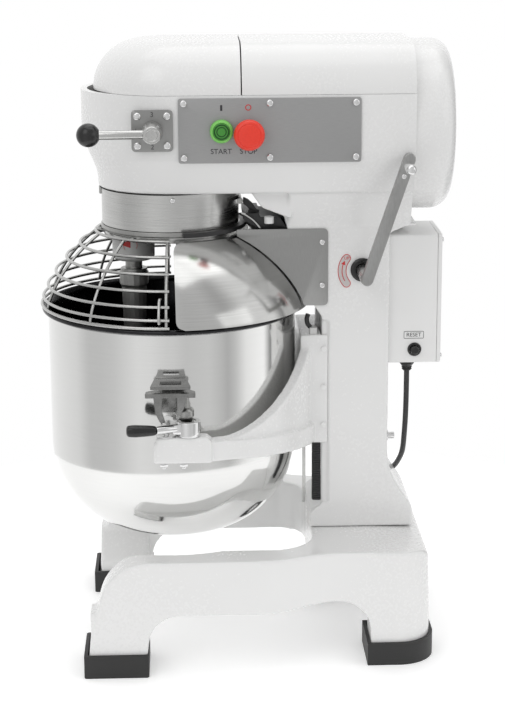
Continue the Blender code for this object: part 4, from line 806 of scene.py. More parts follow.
def build_hub():
    """Ring under the head, guard track, planet carrier and agitator shaft."""
    ring = soft_turned([(0.080, 0.547), (0.087, 0.547), (0.087, 0.5937), (0.076, 0.5937), (0.076, 0.5877),
                        (0.080, 0.5877)], 0.0006, UPRIGHT, 128)
    piece("hub_band", ring, "frame", BRUSHED, "hub_ring")
    seam = turned(rect(0.0872, 0.5932, 0.0890, 0.5940), UPRIGHT, 128)
    piece("hub_seam", seam, "frame", SEAM)
    screws("hub_screw", [(0.0869, 0.0036, 0.5866)], X_AXIS, 0.0036, 0.0022, "frame")
    track = soft_turned(rect(0.080, 0.5405, 0.0885, 0.5467), 0.0008, UPRIGHT, 128)
    piece("guard_track_ring", track, "frame", SHAFT_STEEL, "guard_track")
    lip = []
    for k in range(61):
        angle = math.radians(10 + 160 * k / 60)
        lip.append([(r * math.cos(angle), r * math.sin(angle), z)
                    for r, z in ((0.0875, 0.5410), (0.0960, 0.5410), (0.0965, 0.5416), (0.0965, 0.5460),
                                 (0.0960, 0.5466), (0.0875, 0.5466))])
    piece("guard_track_lip", loft(lip), "frame", BLACK_PART)
    carrier = soft_turned([(0, 0.540), (0.0775, 0.540), (0.0775, 0.5555), (0.018, 0.560), (0.018, 0.590),
                           (0.0103, 0.590), (0.0103, 0.5442), (0, 0.5442)], 0.0008, UPRIGHT, 96)
    housing = soft_turned([(0, 0.498), (0.0230, 0.498), (0.0270, 0.5015), (0.0270, 0.545), (0, 0.545)],
                          0.0015,
                          at(0, PLANET_Y, 0), 72)
    lug = block((-0.012, -0.0745, 0.5305), (0.012, -0.0595, 0.5405), 0.0012)
    shape = carve(carrier, joins=[housing],
                  cuts=[bar((0, PLANET_Y, 0.48), (0, PLANET_Y, 0.60), 0.0113, 48, 0)])
    piece("planet_housing_shell", merged(shape, lug), "planetary", HOUSING, "planet_carrier",
          tint=(BLACK_PART,
                lambda c, n: c.z > 0.5305 and math.hypot(c.x, c.y - PLANET_Y) > 0.0275 or c.z > 0.5395))
    cup = block((-0.014, -0.018, 0.5215), (0.014, -0.002, 0.5395), 0.0015)
    piece("planet_stop", cup, "planetary", BLACK_PART)
    sticker = []
    for k in range(25):
        angle = math.radians(-28 + 250 * k / 24)
        across, up = 0.0095 * math.cos(angle), 0.0095 * math.sin(angle)
        turn = math.atan2(across - 0.004, 0.0273)
        sticker.append((0.0273 * math.cos(turn), PLANET_Y + 0.0273 * math.sin(turn), 0.5205 + up))
    arrow = []
    for k in range(9):
        share = k / 8
        row = []
        for corner in range(5):
            wide = (corner / 4 - 0.5) * (0.0095 * (0.35 + 0.65 * share))
            turn = math.atan2(-0.0130 + 0.0110 * share - 0.001, 0.0273)
            row.append((0.0274 * math.cos(turn), PLANET_Y + 0.0274 * math.sin(turn), 0.5215 + wide))
        arrow.append(row)
    strip = sheet(arrow, [[(x - 0.0006, y, z) for x, y, z in row] for row in arrow])
    piece("turn_sticker", merged(wire(sticker, 0.00035, 6), strip), "planetary", RED_PRINT)
    shaft = soft_turned([(0, 0.452), (0.0085, 0.452), (0.0085, 0.470), (0.0108, 0.4705), (0.0108, 0.559),
                         (0.0082, 0.5595), (0.0082, 0.579), (0, 0.579)], 0.0004,
                        at(0, PLANET_Y, 0), 48)
    collar = soft_turned(rect(0.0107, 0.4825, 0.0170, 0.4865), 0.0006, at(0, PLANET_Y, 0), 48)
    pin = bar((-0.0160, PLANET_Y, 0.4785), (0.0160, PLANET_Y, 0.4785), 0.0028, 20)
    piece("agitator_spindle", merged(shaft, collar, pin), "agitator", SHAFT_STEEL, "agitator_shaft")


def build_bracket():
    """Hinge bracket of the bowl guard between the ring and the column."""
    cheek = soft_path([(0.0917, 0.5815), (0.0979, 0.5787), (0.1042, 0.5729), (0.1098, 0.5645),
                       (0.1004, 0.5646),
                       (0.0960, 0.5704), (0.0916, 0.5730)], 0.0015)
    upper = slab(cheek, "X", 0.030, 0.036, 0.0008)
    link = block((0.028, 0.0980, 0.5600), (0.036, 0.1120, 0.5655), 0.0008)
    lower = slab(soft_path([(0.0911, 0.5634), (0.1111, 0.5631), (0.1124, 0.5587), (0.1368, 0.5584),
                            (0.1468, 0.5430),
                            (0.1100, 0.5434), (0.0911, 0.5560)], 0.001), "X", -0.030, 0.050, 0.0008)
    piece("hinge_bracket", merged(upper, link, lower), "frame", BLACK_PART)
    pin = merged(bar((0.0, 0.0876, 0.5783), (0.041, 0.0876, 0.5783), 0.0026, 24),
                 bar((0.0400, 0.0876, 0.5783), (0.0450, 0.0876, 0.5783), 0.0037, 24))
    piece("hinge_pin", pin, "frame", SHAFT_STEEL)
    strap = []
    for y, z in ((0.0880, 0.5640), (0.0925, 0.5625), (0.0970, 0.5595), (0.1020, 0.5560), (0.1065, 0.5515),
                 (0.1110, 0.5460), (0.1145, 0.5400)):
        strap.append([(x, y + dy, z + dz)
                      for x, dy, dz in ((0.0515, 0, 0), (0.0555, 0, 0), (0.0555, 0.0012, 0.0012),
                                                             (0.0515, 0.0012, 0.0012))])
    piece("hinge_strap", loft(strap), "frame", STEEL)
    boss = soft_turned(rect(0, 0.5515, 0.0061, 0.5600), 0.0006, at(0.0545, 0.1234, 0), 40)
    piece("neck_boss", boss, "frame", ENAMEL)


# Guard --------------------------------------------------------------------------------

def dome_radius(height):
    """Radius of the dome at a height."""
    share = max(0.0, (height - 0.443) / 0.1245) ** (1 / 1.43)
    return 0.177 * math.sqrt(max(0.0, 1 - share * share))


def build_shield():
    """Dome over the rear half of the bowl, its free edges and corners rounded."""
    rows, steps, wall = 40, 120, 0.0014
    low, high = 0.4436, 0.5372
    corner = 0.0110
    outer_grid = []
    for k in range(rows + 1):
        share = k / rows
        z = low + (high - low) * (1 - (1 - share) ** 1.25)
        radius = dome_radius(z)
        top = max(0.0, corner - (high - z))
        foot = max(0.0, corner - (z - low))
        back = corner - math.sqrt(max(0.0, corner ** 2 - max(top, foot) ** 2))
        edge = math.degrees(back / radius)
        row = []
        for i in range(steps + 1):
            angle = math.radians(2 + edge + (176 - 2 * edge) * i / steps)
            row.append((radius, angle, z))
        outer_grid.append(row)

    def layer(offset):
        return [[((r - offset) * math.cos(a), (r - offset) * math.sin(a), z) for r, a, z in row]
                for row in outer_grid]
    mesh = sheet(layer(0.0), layer(wall))
    piece("shield_dome", mesh, "frame", DOME_STEEL, "rear_shield")


def build_side_plates():
    """Plates that carry the dome on the column."""
    for label, sign in SIDES:
        low, high = mirrored(sign, 0.0603, 0.0619)
        outline = [(0.0830, 0.545), (0.197, 0.545, 0.006), (0.197, 0.447, 0.006)]
        for z in (0.447, 0.458, 0.470, 0.480, 0.490, 0.500, 0.510, 0.519, 0.528, 0.5365):
            outline.append((math.sqrt(dome_radius(z) ** 2 - 0.0603 ** 2) + 0.0015, z, 0.0001))
        outline.pop(3)
        reach = math.sqrt(dome_radius(0.447) ** 2 - 0.0603 ** 2) + 0.0015
        outline.insert(3, (reach, 0.447, 0.0005))
        outline[0] = (0.0830, 0.545, 0.0005)
        plate = slab(soft_path(outline, 0.0005, 5), "X", low, high, 0.0004, 2)
        piece("shield_plate_" + label, plate, "frame", SATIN, "side_plate_" + label)
        axis = X_AXIS if sign > 0 else X_AXIS @ Matrix.Rotation(math.pi, 4, "X")
        spots = [(sign * 0.0619, 0.1896, z) for z in (0.5280, 0.4730)]
        screws("shield_screws_" + label, spots, axis, 0.0038, 0.0024, "frame")


def guard_point(share, angle):
    """Point of the wire guard; share runs from the top ring to the lowest."""
    rise = math.radians(55 * (1 - share))
    radius = 0.1665 * math.cos(rise)
    return Vector((radius * math.cos(angle), radius * math.sin(angle),
                   0.4442 + 0.1229 * math.sin(rise) ** 1.40))


def build_guard():
    """Wire guard: rings, ribs, hub collar and pull loop."""
    parts = []
    for i in range(7):
        size = 0.0019 if i < 6 else 0.0020
        parts.append(wire([guard_point(i / 6, math.radians(-179.3 + 178.6 * k / 72)) for k in range(73)],
                          size))
    for i in range(6):
        angle = math.radians(-178 + 176 * i / 5)
        size = 0.0019 if i not in (0, 5) else 0.0022
        line = []
        for k in range(21):
            spot = guard_point(k / 20, angle)
            drawn = math.hypot(spot.x, spot.y)
            line.append(Vector((spot.x * (drawn - 0.0030) / drawn, spot.y * (drawn - 0.0030) / drawn,
                                spot.z)))
        parts.append(wire(line, size))
    collar = soft_turned(rect(0.0805, 0.5325, 0.0850, 0.5400), 0.0008, UPRIGHT, 96)
    parts.append(collar)
    for i in range(3):
        angle = math.radians(-150 + 60 * i)
        start = (0.0835 * math.cos(angle), 0.0835 * math.sin(angle), 0.5355)
        parts.append(bar(start, guard_point(0, angle), 0.0028, 16))
    loop = []
    for share, out in ((0.58, 0.0), (0.575, 0.0060), (0.60, 0.0105), (0.72, 0.0115), (0.84, 0.0110),
                       (0.875, 0.0060),
                       (0.87, 0.0)):
        spot = guard_point(share, math.radians(-4.6))
        loop.append(spot + Vector((out * 0.45, -out * 0.15, 0.0)))
    parts.append(wire(smooth_line(loop, 5), 0.0017))
    piece("guard_basket", merged(*parts), "guard", WIRE_STEEL, "wire_guard")


# Bowl and cradle ----------------------------------------------------------------------

def build_bowl():
    """Bowl with its rim bead; its inside and the top of the bead are painted near black as painted shade."""
    outer = bowl_outer()
    bead = arc(0.1638, 0.4384, 0.0030, -75, 135, 12)
    inner = [(0.1574, 0.4330)] + [(max(0.0, r - 0.0015), z + 0.0015) for r, z in reversed(outer[:-1])]
    # The tint test gives the painted shade to the inside faces, the upward faces of the inner bottom and the
    # bead top.
    piece("bowl_shell", turned(outer + bead + inner, UPRIGHT, 160), "cradle", POLISHED, "bowl",
          tint=(BOWL_INSIDE_SHADE, lambda c, n: n.x * c.x + n.y * c.y < 0 and math.hypot(c.x, c.y) < 0.1602
                or (n.z > 0.3 and c.z < 0.42) or c.z > 0.4335))


def build_cradle():
    """Sliding block with its two arms, lift lug, rack, blade, stop and hook."""
    body = block((-0.0595, 0.1628, 0.2652), (0.0595, 0.1895, 0.4078), 0)
    joins = []
    for label, sign in SIDES:
        joins.append(sided(sign, (0.0560, 0.185, 0.2652), (0.0597, 0.1976, 0.4078), 0))
        band, web = [], []
        steps = 36
        for i in range(steps + 1):
            angle = math.radians(-7 + 79 * i / steps)
            share = max(0.0, min(1.0, (math.degrees(angle) - 20) / 50))
            low = 0.283 - 0.016 * share
            top = 0.307 + 0.083 * share ** 1.6
            outer = 0.1958 - 0.005 * share
            for rows, ring in ((band, rect(0.1722, low, outer, low + 0.0245)),
                               (web, rect(0.1722, low + 0.004, outer - 0.0055, top))):
                rows.append([(sign * r * math.cos(angle), r * math.sin(angle), z) for r, z in ring])
        joins.append(loft(band))
        joins.append(loft(web))
        pad = [(-0.0205, 0.2832), (0.0470, 0.2832), (0.0470, 0.3100), (0.0410, 0.3150),
               (-0.0205, 0.3150, 0.0035)]
        joins.append(slab(soft_path(pad, 0.001), "X", *mirrored(sign, 0.1722, 0.1958)))
    joins += [block((-0.008, 0.185, 0.362), (0.008, 0.226, 0.430), 0),
              block((-0.008, 0.201, 0.362), (0.008, 0.226, 0.516), 0),
              block((-0.008, 0.1885, 0.5115), (0.008, 0.2235, 0.5375), 0)]
    pin_z = LIFT_Z + 0.0435 * math.sin(math.radians(48.35))
    cuts = [block((-0.02, 0.1910, pin_z - 0.0078), (0.02, 0.2190, pin_z + 0.0078), 0),
            block((-0.2, 0.1897, 0.0), (-0.0600, 0.6, 0.7), 0),
            block((0.0600, 0.1897, 0.0), (0.2, 0.6, 0.7), 0),
            block((0.0400, 0.1765, 0.2), (0.0530, 0.1950, 0.345), 0)]
    shape = carve(body, joins=joins, cuts=cuts, cast=VOXEL * 0.8, smooth=4)
    piece("cradle_casting", shape, "cradle", ENAMEL, "cradle", sharp=math.radians(60))
    for label, sign in SIDES:
        nuts = [hexagon((sign * CLAMP_X, y), 0.0055, 0.2765, 0.2825) for y in (-0.011, 0.013)]
        studs = [bar((sign * CLAMP_X, y, 0.2735), (sign * CLAMP_X, y, 0.2770), 0.0028, 20)
                 for y in (-0.011, 0.013)]
        piece("arm_nuts_" + label, merged(*nuts, *studs), "cradle", CHROME)
    rack = []
    for k in range(26):
        z = 0.1855 + 0.0030 * k
        rack.append(block((0.0418, 0.1782, z), (0.0512, 0.1890, z + 0.0020), 0.0003, 1))
    spine = block((0.0430, 0.1790, 0.1842), (0.0500, 0.1894, 0.2618), 0.0005, 1)
    piece("guide_rack", merged(spine, *rack), "frame", RACK_BLACK, "slide_rail")
    blade = block((0.0285, 0.1668, 0.1750), (0.0305, 0.1710, 0.2640), 0.0003, 1)
    piece("guide_blade", blade, "cradle", STEEL)
    stop = block((0.0420, 0.1745, 0.4076), (0.0560, 0.1840, 0.4165), 0.0010)
    piece("travel_stop", stop, "cradle", HOUSING)
    hook = wire(smooth_line([(0.0495, 0.1760, 0.4160), (0.0495, 0.1725, 0.4200), (0.0495, 0.1712, 0.4270),
                             (0.0495, 0.1730, 0.4330)], 6), 0.0030)
    piece("travel_hook", hook, "cradle", BLACK_PART)


def build_clamps():
    """Bowl flanges and the two swinging clamps."""
    for label, sign in SIDES:
        def flat(outline, low, high, edge=0.0007):
            """Plate lying flat, its outline given for the right side."""
            return slab([(sign * x, y) for x, y in outline], "Z", low, high, edge, 2)
        flange = flat(soft_path([(0.1588, -0.0150), (0.1780, -0.0170), (0.1880, -0.0320), (0.1990, -0.0320),
                                 (0.1990, 0.0280), (0.1880, 0.0280), (0.1780, 0.0190), (0.1588, 0.0175)],
                                0.0015),
                      0.3690, 0.3718)
        lip = flat(soft_path(rect(0.1960, -0.0325, 0.1992, 0.0282), 0.0008), 0.3666, 0.3718)
        bail = flat(soft_path([(0.1588, -0.0200), (0.1660, -0.0222), (0.1990, -0.0262), (0.1990, 0.0226),
                               (0.1660, 0.0182), (0.1588, 0.0165)], 0.0015), 0.3778, 0.3806)
        face = flat(soft_path(rect(0.1972, -0.0260, 0.1995, 0.0224), 0.0008), 0.3770, 0.3806)
        slot_cut = sided(sign, (0.1740, -0.0146, 0.370), (0.1900, 0.0112, 0.390), 0)
        back = sided(sign, (0.1588, -0.0140, 0.3380), (0.1618, 0.0150, 0.3800), 0.0008)
        leg = slab(soft_path([(-0.0232, 0.3700), (-0.0110, 0.3700), (-0.0135, 0.3500), (-0.0085, 0.3330),
                              (-0.0150, 0.3330), (-0.0205, 0.3450)], 0.0015),
                   "X", *mirrored(sign, 0.1875, 0.1900), 0.0006)
        cheek = slab(soft_path([(0.0060, 0.3700), (0.0185, 0.3700), (0.0170, 0.3580), (0.0110, 0.3440),
                                (0.0060, 0.3440)], 0.0015),
                     "X", *mirrored(sign, 0.1875, 0.1900), 0.0006)
        walls = [bar((0, 0, 0.30), (0, 0, 0.42), BRACKET_CURVE, 160, 0) for _ in range(2)]
        shape = carve(flange, joins=[lip, back, leg, cheek], cuts=[walls[0]])
        top = carve(bail, joins=[face], cuts=[slot_cut, walls[1]])
        knob = [(0, 0.3350), (0.0085, 0.3350), (0.0108, 0.3375), (0.0108, 0.3450), (0.0085, 0.3475),
                (0.0050, 0.3480), (0.0050, 0.3690), (0, 0.3690)]
        knob = soft_turned(knob, 0.0008, at(sign * 0.1745, 0.0155, 0), 20)
        piece("flange_knob_" + label, knob, "cradle", SHAFT_STEEL,
              sharp=math.radians(15))
        piece("bowl_flange_" + label, merged(shape, top), "cradle", FLANGE_STEEL, "bowl_bracket_" + label)
        pivot = (sign * CLAMP_X, 0.0195, 0.3113)
        drum = soft_turned([(0, 0.0042), (0.0146, 0.0042), (0.0146, 0.0230), (0.0090, 0.0232),
                            (0.0085, 0.0222),
                            (0, 0.0222)], 0.0010, Matrix.Translation(pivot), 64)
        neck = merged(bar((sign * 0.188, 0.010, 0.3260), (sign * 0.2005, -0.020, 0.3268), 0.0050, 32),
                      slab(soft_path([(0.0, 0.3195), (0.0130, 0.3195), (0.0130, 0.3325), (0.0, 0.3305)],
                                     0.002), "X",
                           *mirrored(sign, 0.1850, 0.1950), 0.001))
        piece("clamp_cam_" + label, merged(drum, neck), "clamp_" + label, CHROME, "clamp_lever_" + label)
        washer = soft_turned(rect(0.0030, 0.3151, 0.0120, 0.3166), 0.0004,
                             at(sign * CLAMP_X, -0.0080, 0), 40)
        stud = bar((sign * CLAMP_X, -0.0080, 0.3145), (sign * CLAMP_X, -0.0080, 0.3200), 0.0036, 24)
        piece("arm_washer_" + label, merged(washer, stud), "cradle", CHROME)
        start, end = Vector((sign * 0.2009, -0.0200, 0.3268)), Vector((sign * 0.2045, -0.0555, 0.3276))
        length = (end - start).length
        grip = [(0, 0), (0.0052, 0), (0.0060, 0.08 * length, 0.002), (0.0068, 0.3 * length, 0.004),
                (0.0077, 0.72 * length, 0.006), (0.0068, 0.95 * length, 0.004), (0.0040, length, 0.002),
                (0, length)]
        piece("clamp_handle_" + label, soft_turned(grip, 0.001, aim(start, end), 48, 5), "clamp_" + label,
              BLACK,
              "clamp_grip_" + label, sharp=math.radians(60))


# Lift ---------------------------------------------------------------------------------

def build_lift():
    """Lift lever with its knob and the seal on its shaft."""
    y, z = LIFT_Y, LIFT_Z
    lean = math.radians(18.6)
    along = Vector((0, math.sin(lean), math.cos(lean)))
    side = Vector((0, math.cos(lean), -math.sin(lean)))
    base = Vector((0, y, z))
    top = base + along * 0.157
    outline = []
    for centre, start_angle in ((top, 0), (base, 180)):
        for k in range(17):
            angle = math.radians(start_angle + 180 * k / 16)
            spot = centre + (side * math.cos(angle) + along * math.sin(angle)) * 0.0070
            outline.append((spot.y, spot.z))
    piece("lift_arm", slab(outline, "X", 0.1183, 0.1290, 0.0012), "lift", LEVER_STEEL, "lift_handle")
    low = top - along * 0.008 + Vector((0.1293, 0, 0))
    knob = [(0, 0), (0.0050, 0), (0.0058, 0.006, 0.002), (0.0068, 0.026, 0.004), (0.0066, 0.034, 0.003),
            (0.0052, 0.0385, 0.002), (0, 0.040)]
    piece("lift_grip", soft_turned(knob, 0.001, Matrix.Translation(low) @ X_AXIS, 56, 5), "lift", CHROME,
          "lift_knob", sharp=math.radians(60))
    screws("lift_screw", [tuple(top - along * 0.022 + Vector((0.1290, 0, 0)))], X_AXIS, 0.0030, 0.0012,
           "lift")
    seal = soft_turned([(0.0084, 0), (0.0150, 0), (0.0150, 0.0035), (0.0125, 0.0047), (0.0084, 0.0047)],
                       0.0008,
                       at(0.0603, y, z) @ X_AXIS, 64)
    piece("lift_bushing", seal, "frame", BLACK, "lift_seal")


def build_raise_label():
    """Curved label beside the lift lever: arrow in a rounded outline."""
    y, z, face = LIFT_Y, 0.4905, 0.0600

    def spot(radius, degrees):
        angle = math.radians(degrees)
        return (y + radius * math.cos(angle), z + radius * math.sin(angle))
    first, last = 141.0, 219.0
    inner, outer = 0.0205, 0.0305
    middle = (inner + outer) / 2
    steps = 24
    rise = (last - first) / steps

    def end_cap(degrees, turn):
        centre = spot(middle, degrees)
        angles = [turn + math.pi * i / 8 for i in range(1, 8)]
        return [(centre[0] + 0.005 * math.cos(a), centre[1] + 0.005 * math.sin(a)) for a in angles]
    shape = [spot(outer, first + rise * i) for i in range(steps + 1)] + end_cap(last, math.radians(last))
    shape += ([spot(inner, last - rise * i) for i in range(steps + 1)]
              + end_cap(first, math.radians(first + 180)))
    piece("raise_label", slab(shape, "X", face, face + 0.0003), "frame", LABEL)
    rim = wire([(face + 0.0003, a, b) for a, b in shape], 0.00045, 8, True)
    stroke = wire([(face + 0.0004, *spot(middle, 158 + 52 * i / 12)) for i in range(13)], 0.00050, 8)
    tip, left, right = spot(middle, 150), spot(middle + 0.0026, 161), spot(middle - 0.0026, 161)
    head = slab([tip, left, right], "X", face + 0.0003, face + 0.0007)
    piece("raise_print", merged(rim, stroke, head), "frame", RED_PRINT)
    word = spot(middle, 140.5)
    lettering("raise_word", "UP", 0.0055, word, face + 0.0004, "frame", RED_PRINT)


# Electrical ---------------------------------------------------------------------------

GLAND_Y = 0.3031
LEAD_RADIUS = 0.0035
COIL = Vector((-0.100, 0.189, 0))
LEAD_ROUTE = ((0.0200, GLAND_Y, 0.3520), (0.0200, GLAND_Y, 0.3300), (0.0198, 0.3029, 0.3000),
              (0.0185, 0.3022, 0.2760), (0.0150, 0.3015, 0.2588), (0.0080, 0.3016, 0.2443),
              (-0.0040, 0.3015, 0.2309), (-0.0190, 0.3002, 0.2190), (-0.0360, 0.2995, 0.2085),
              (-0.0530, 0.2998, 0.2005), (-0.0680, 0.2990, 0.1925), (-0.0800, 0.2930, 0.1815),
              (-0.0910, 0.2850, 0.1690), (-0.1050, 0.2760, 0.1595), (-0.1240, 0.2675, 0.1560),
              (-0.1435, 0.2610, 0.1592), (-0.1591, 0.2560, 0.1560), (-0.1718, 0.2525, 0.1463),
              (-0.1792, 0.2505, 0.1321), (-0.1805, 0.2500, 0.1140), (-0.1800, 0.2500, 0.0920),
              (-0.1780, 0.2500, 0.0690), (-0.1760, 0.2510, 0.0480), (-0.1730, 0.2480, 0.0260),
              (-0.1660, 0.2390, 0.0100), (-0.1575, 0.2250, 0.0040), (-0.1505, 0.2090, 0.0046),
              (-0.1473, 0.1960, 0.0046))


def build_box():
    """Electrical box with lid, RESET button, label and cable gland."""
    low, high = 0.367, 0.534
    shell = slab(soft_path(rect(-0.050, low, 0.050, high), 0.004), "Y", 0.2753, 0.3370, 0.0008, 2)
    shell = carve(shell, cuts=[block((-0.0485, 0.2773, low + 0.002), (0.0485, 0.347, high - 0.002), 0),
                               bar((0.04, 0.309, 0.385), (0.06, 0.309, 0.385), 0.0062, 32, 0),
                               bar((0.02, GLAND_Y, low - 0.01), (0.02, GLAND_Y, low + 0.01), 0.0065, 32, 0)])
    piece("box_body", shell, "frame", SHEET_ENAMEL, "control_box")
    lid = slab(soft_path(rect(-0.050, low, 0.050, high), 0.004), "Y", 0.3375, 0.3425, 0.0012)
    piece("box_lid", lid, "frame", SHEET_ENAMEL, "control_box_lid")
    spots = [(x, 0.3425, z) for x in (-0.043, 0.043) for z in (low + 0.008, high - 0.008)]
    screws("lid_screws", spots, Y_AXIS, 0.0036, 0.0022, "frame")
    here = at(0.050, 0.309, 0.385) @ X_AXIS
    ring = soft_turned([(0.0064, 0.0001), (0.0090, 0.0001), (0.0086, 0.0016), (0.0064, 0.0022)], 0.0004,
                       here, 48)
    piece("reset_ring", ring, "frame", BLACK)
    button = soft_turned([(0, -0.006), (0.0050, -0.006), (0.0055, 0.0062), (0.0045, 0.0080), (0, 0.0080)],
                         0.001,
                         here, 40)
    piece("reset_cap", button, "reset_button", BLACK, "reset_button")
    rim = soft_path(rect(0.2955, 0.3995, 0.3205, 0.4085), 0.001)
    plate = slab(rim, "X", 0.0500, 0.0502)
    piece("reset_tag", plate, "frame", SHEET_ENAMEL)
    piece("reset_frame", wire([(0.0502, a, b) for a, b in rim], 0.0003, 6, True), "frame", DARK_PRINT)
    lettering("reset_word", "RESET", 0.0072, (0.3080, 0.4040), 0.0503, "frame")
    gland = soft_turned([(0.0036, -0.0170), (0.0052, -0.0170), (0.0060, -0.0120), (0.0070, -0.0105),
                         (0.0095, -0.0070), (0.0095, -0.0003), (0.0060, -0.0003), (0.0060, 0.0050),
                         (0.0036, 0.0050)], 0.0004, at(0.02, GLAND_Y, low), 40)
    ribs = [soft_turned(rect(0.0040, z, 0.0064 + 0.10 * (z + 0.0165), z + 0.0012), 0.0003,
                        at(0.02, GLAND_Y, low), 32)
            for z in (-0.0155, -0.0130)]
    piece("gland_nut", merged(gland, *ribs), "frame", BLACK, "cable_gland")


def spline_points(route, pieces):
    """Uniform cubic B-spline through a route that is extended straight at both ends."""
    corners = [Vector(point) for point in route]
    corners = [2 * corners[0] - corners[1]] + corners + [2 * corners[-1] - corners[-2]]
    points = []
    for i in range(1, len(corners) - 2):
        p0, p1, p2, p3 = corners[i - 1:i + 3]
        for k in range(pieces):
            t = k / pieces
            points.append(((1 - t) ** 3 * p0 + (3 * t ** 3 - 6 * t ** 2 + 4) * p1
                           + (-3 * t ** 3 + 3 * t ** 2 + 3 * t + 1) * p2 + t ** 3 * p3) / 6)
    return points + [corners[-2]]


def eased(keys, value):
    """Value of a stepped course at a place: flat between its ramps, smooth on them."""
    for (start, low), (end, high) in zip(keys, keys[1:]):
        if value <= end:
            share = max(0.0, (value - start) / (end - start))
            return low + (high - low) * share * share * (3 - 2 * share)
    return keys[-1][1]


def coil_points():
    """Two turns side by side in three layers; it ends on the way to the plug that lies on top."""
    reach = ((180, 0.0473), (235, 0.0397), (490, 0.0397), (560, 0.0322), (1070, 0.0322), (1140, 0.0397),
             (1630, 0.0397), (1700, 0.0322), (1890, 0.0322), (1975, 0.0397), (2160, 0.0397))
    level = ((180, 0.0046), (780, 0.0046), (850, 0.0118), (1360, 0.0118), (1430, 0.0190), (2080, 0.0190),
             (2160, 0.0240))
    points = []
    for i in range(1, 199):
        angle = 180 + 10 * i
        turn = math.radians(angle)
        out = eased(reach, angle)
        points.append(COIL + Vector((out * math.cos(turn), out * math.sin(turn), eased(level, angle))))
    for k in range(1, 9):
        turn = math.radians(90 * k / 8)
        rise = 0.0240 + 0.0118 * eased(((0, 0), (1, 1)), k / 8)
        points.append(COIL + Vector((0.0097 + 0.030 * math.cos(turn), 0.0045 + 0.030 * math.sin(turn), rise)))
    return points


def build_cord():
    """Mains lead: down beside the column and over the base, then a coil with its plug on top."""
    route = spline_points(LEAD_ROUTE, 4)
    points = [p + SHIFT for p in route + coil_points()]
    curve = bpy.data.curves.new("mains_cord", "CURVE")
    curve.dimensions = "3D"
    curve.bevel_depth = LEAD_RADIUS
    curve.bevel_resolution = 4
    curve.use_fill_caps = True
    spline = curve.splines.new("POLY")
    spline.points.add(len(points) - 1)
    for target, point in zip(spline.points, points):
        target.co = (*point, 1.0)
    cord = bpy.data.objects.new("mains_cord", curve)
    bpy.context.scene.collection.objects.link(cord)
    curve.materials.append(CABLE)
    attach(cord, "frame")
    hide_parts("mains_lead", "lead_coil")
    low = 0.0238
    x, y = COIL.x, COIL.y
    outline = soft_path([(x - 0.027, y + 0.021), (x + 0.002, y + 0.021), (x + 0.009, y + 0.027),
                         (x + 0.009, y + 0.042), (x + 0.002, y + 0.048), (x - 0.027, y + 0.048)], 0.004)
    plug = slab(outline, "Z", low, low + 0.024, 0.004)
    pins = [bar((x - 0.021, y + dy, low + 0.012), (x - 0.046, y + dy, low + 0.012), 0.0024, 16)
            for dy in (0.0250, 0.0440)]
    plug = piece("plug_body", merged(plug, *pins), "frame", BLACK, "mains_plug",
                 tint=(CHROME, lambda c, n: c.x < x - 0.0272))


def build_small_parts():
    """Tab on the ring, stub and earth bolt behind the column, gib screws."""
    tab = block((-0.0045, -0.0900, 0.5830), (0.0045, -0.0865, 0.5935), 0.0010)
    piece("ring_tab", tab, "frame", ALUMINIUM)
    stub = bar((0.0, 0.2930, 0.5340), (0.0, 0.2930, 0.5495), 0.0055, 24)
    piece("rear_stub", stub, "frame", ENAMEL)
    earth = merged(bar((0.0, 0.2745, 0.2560), (0.0, 0.2900, 0.2560), 0.0045, 24),
                   bar((0.0, 0.2790, 0.2560), (0.0, 0.2815, 0.2560), 0.0075, 24))
    piece("earth_stud", earth, "frame", CHROME)
    for label, sign in SIDES:
        caps = []
        for z in (0.390, 0.340, 0.290):
            caps.append(bar((sign * 0.0598, 0.1922, z), (sign * 0.0640, 0.1922, z), 0.0034, 24, 0.0008))
        piece("gib_screws_" + label, merged(*caps), "cradle", SHEET_ENAMEL)


# Inside -------------------------------------------------------------------------------

def dress_inner_nodes():
    """Finishes for the CAD nodes that stay as they are."""
    groups = ((GEAR_STEEL, ("motor_rotor", "driven_gear_1", "driven_gear_2", "driven_gear_3", "dog_sleeve",
                            "main_shaft", "bevel_pinion_shaft", "ring_gear")),
              (CAST_IRON, ("shift_fork", "gearbox_wall")), (MOTOR_PAINT, ("motor_housing",)),
              (BLACK_PART, ("cooling_fan",)), (STEEL, ("main_bearing", "lift_shaft")),
              (ALUMINIUM, ("beater",)))
    for material, names in groups:
        for name in names:
            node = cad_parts[name]
            node.data.materials.clear()
            node.data.materials.append(material)


# Stage --------------------------------------------------------------------------------

def build_stage():
    """Pale floor under the machine."""
    mesh = bmesh.new()
    bmesh.ops.create_circle(mesh, cap_ends=True, segments=96, radius=0.80)
    data = bpy.data.meshes.new("floor")
    mesh.to_mesh(data)
    mesh.free()
    floor = bpy.data.objects.new("floor", data)
    bpy.context.scene.collection.objects.link(floor)
    data.materials.append(finish("floor_pale", (0.93, 0.93, 0.93), (0.91, 0.91, 0.91), 0.80, grain=40,
                                 bump=0.01,
                                 emission=0.30))


# Azimuth from the camera side towards the rear of the machine, and brightness there.
ROOM_BANDS = ((0, 0.72), (12, 0.64), (34, 0.68), (46, 0.58), (52, 0.50), (60, 0.62), (72, 0.95), (94, 1.12),
              (103, 0.26), (112, 0.12), (125, 0.07), (136, 0.27), (150, 1.05), (180, 1.00), (212, 0.95),
              (260, 0.80), (276, 0.62), (290, 0.62), (304, 0.66), (328, 0.84), (340, 0.82), (356, 0.72))


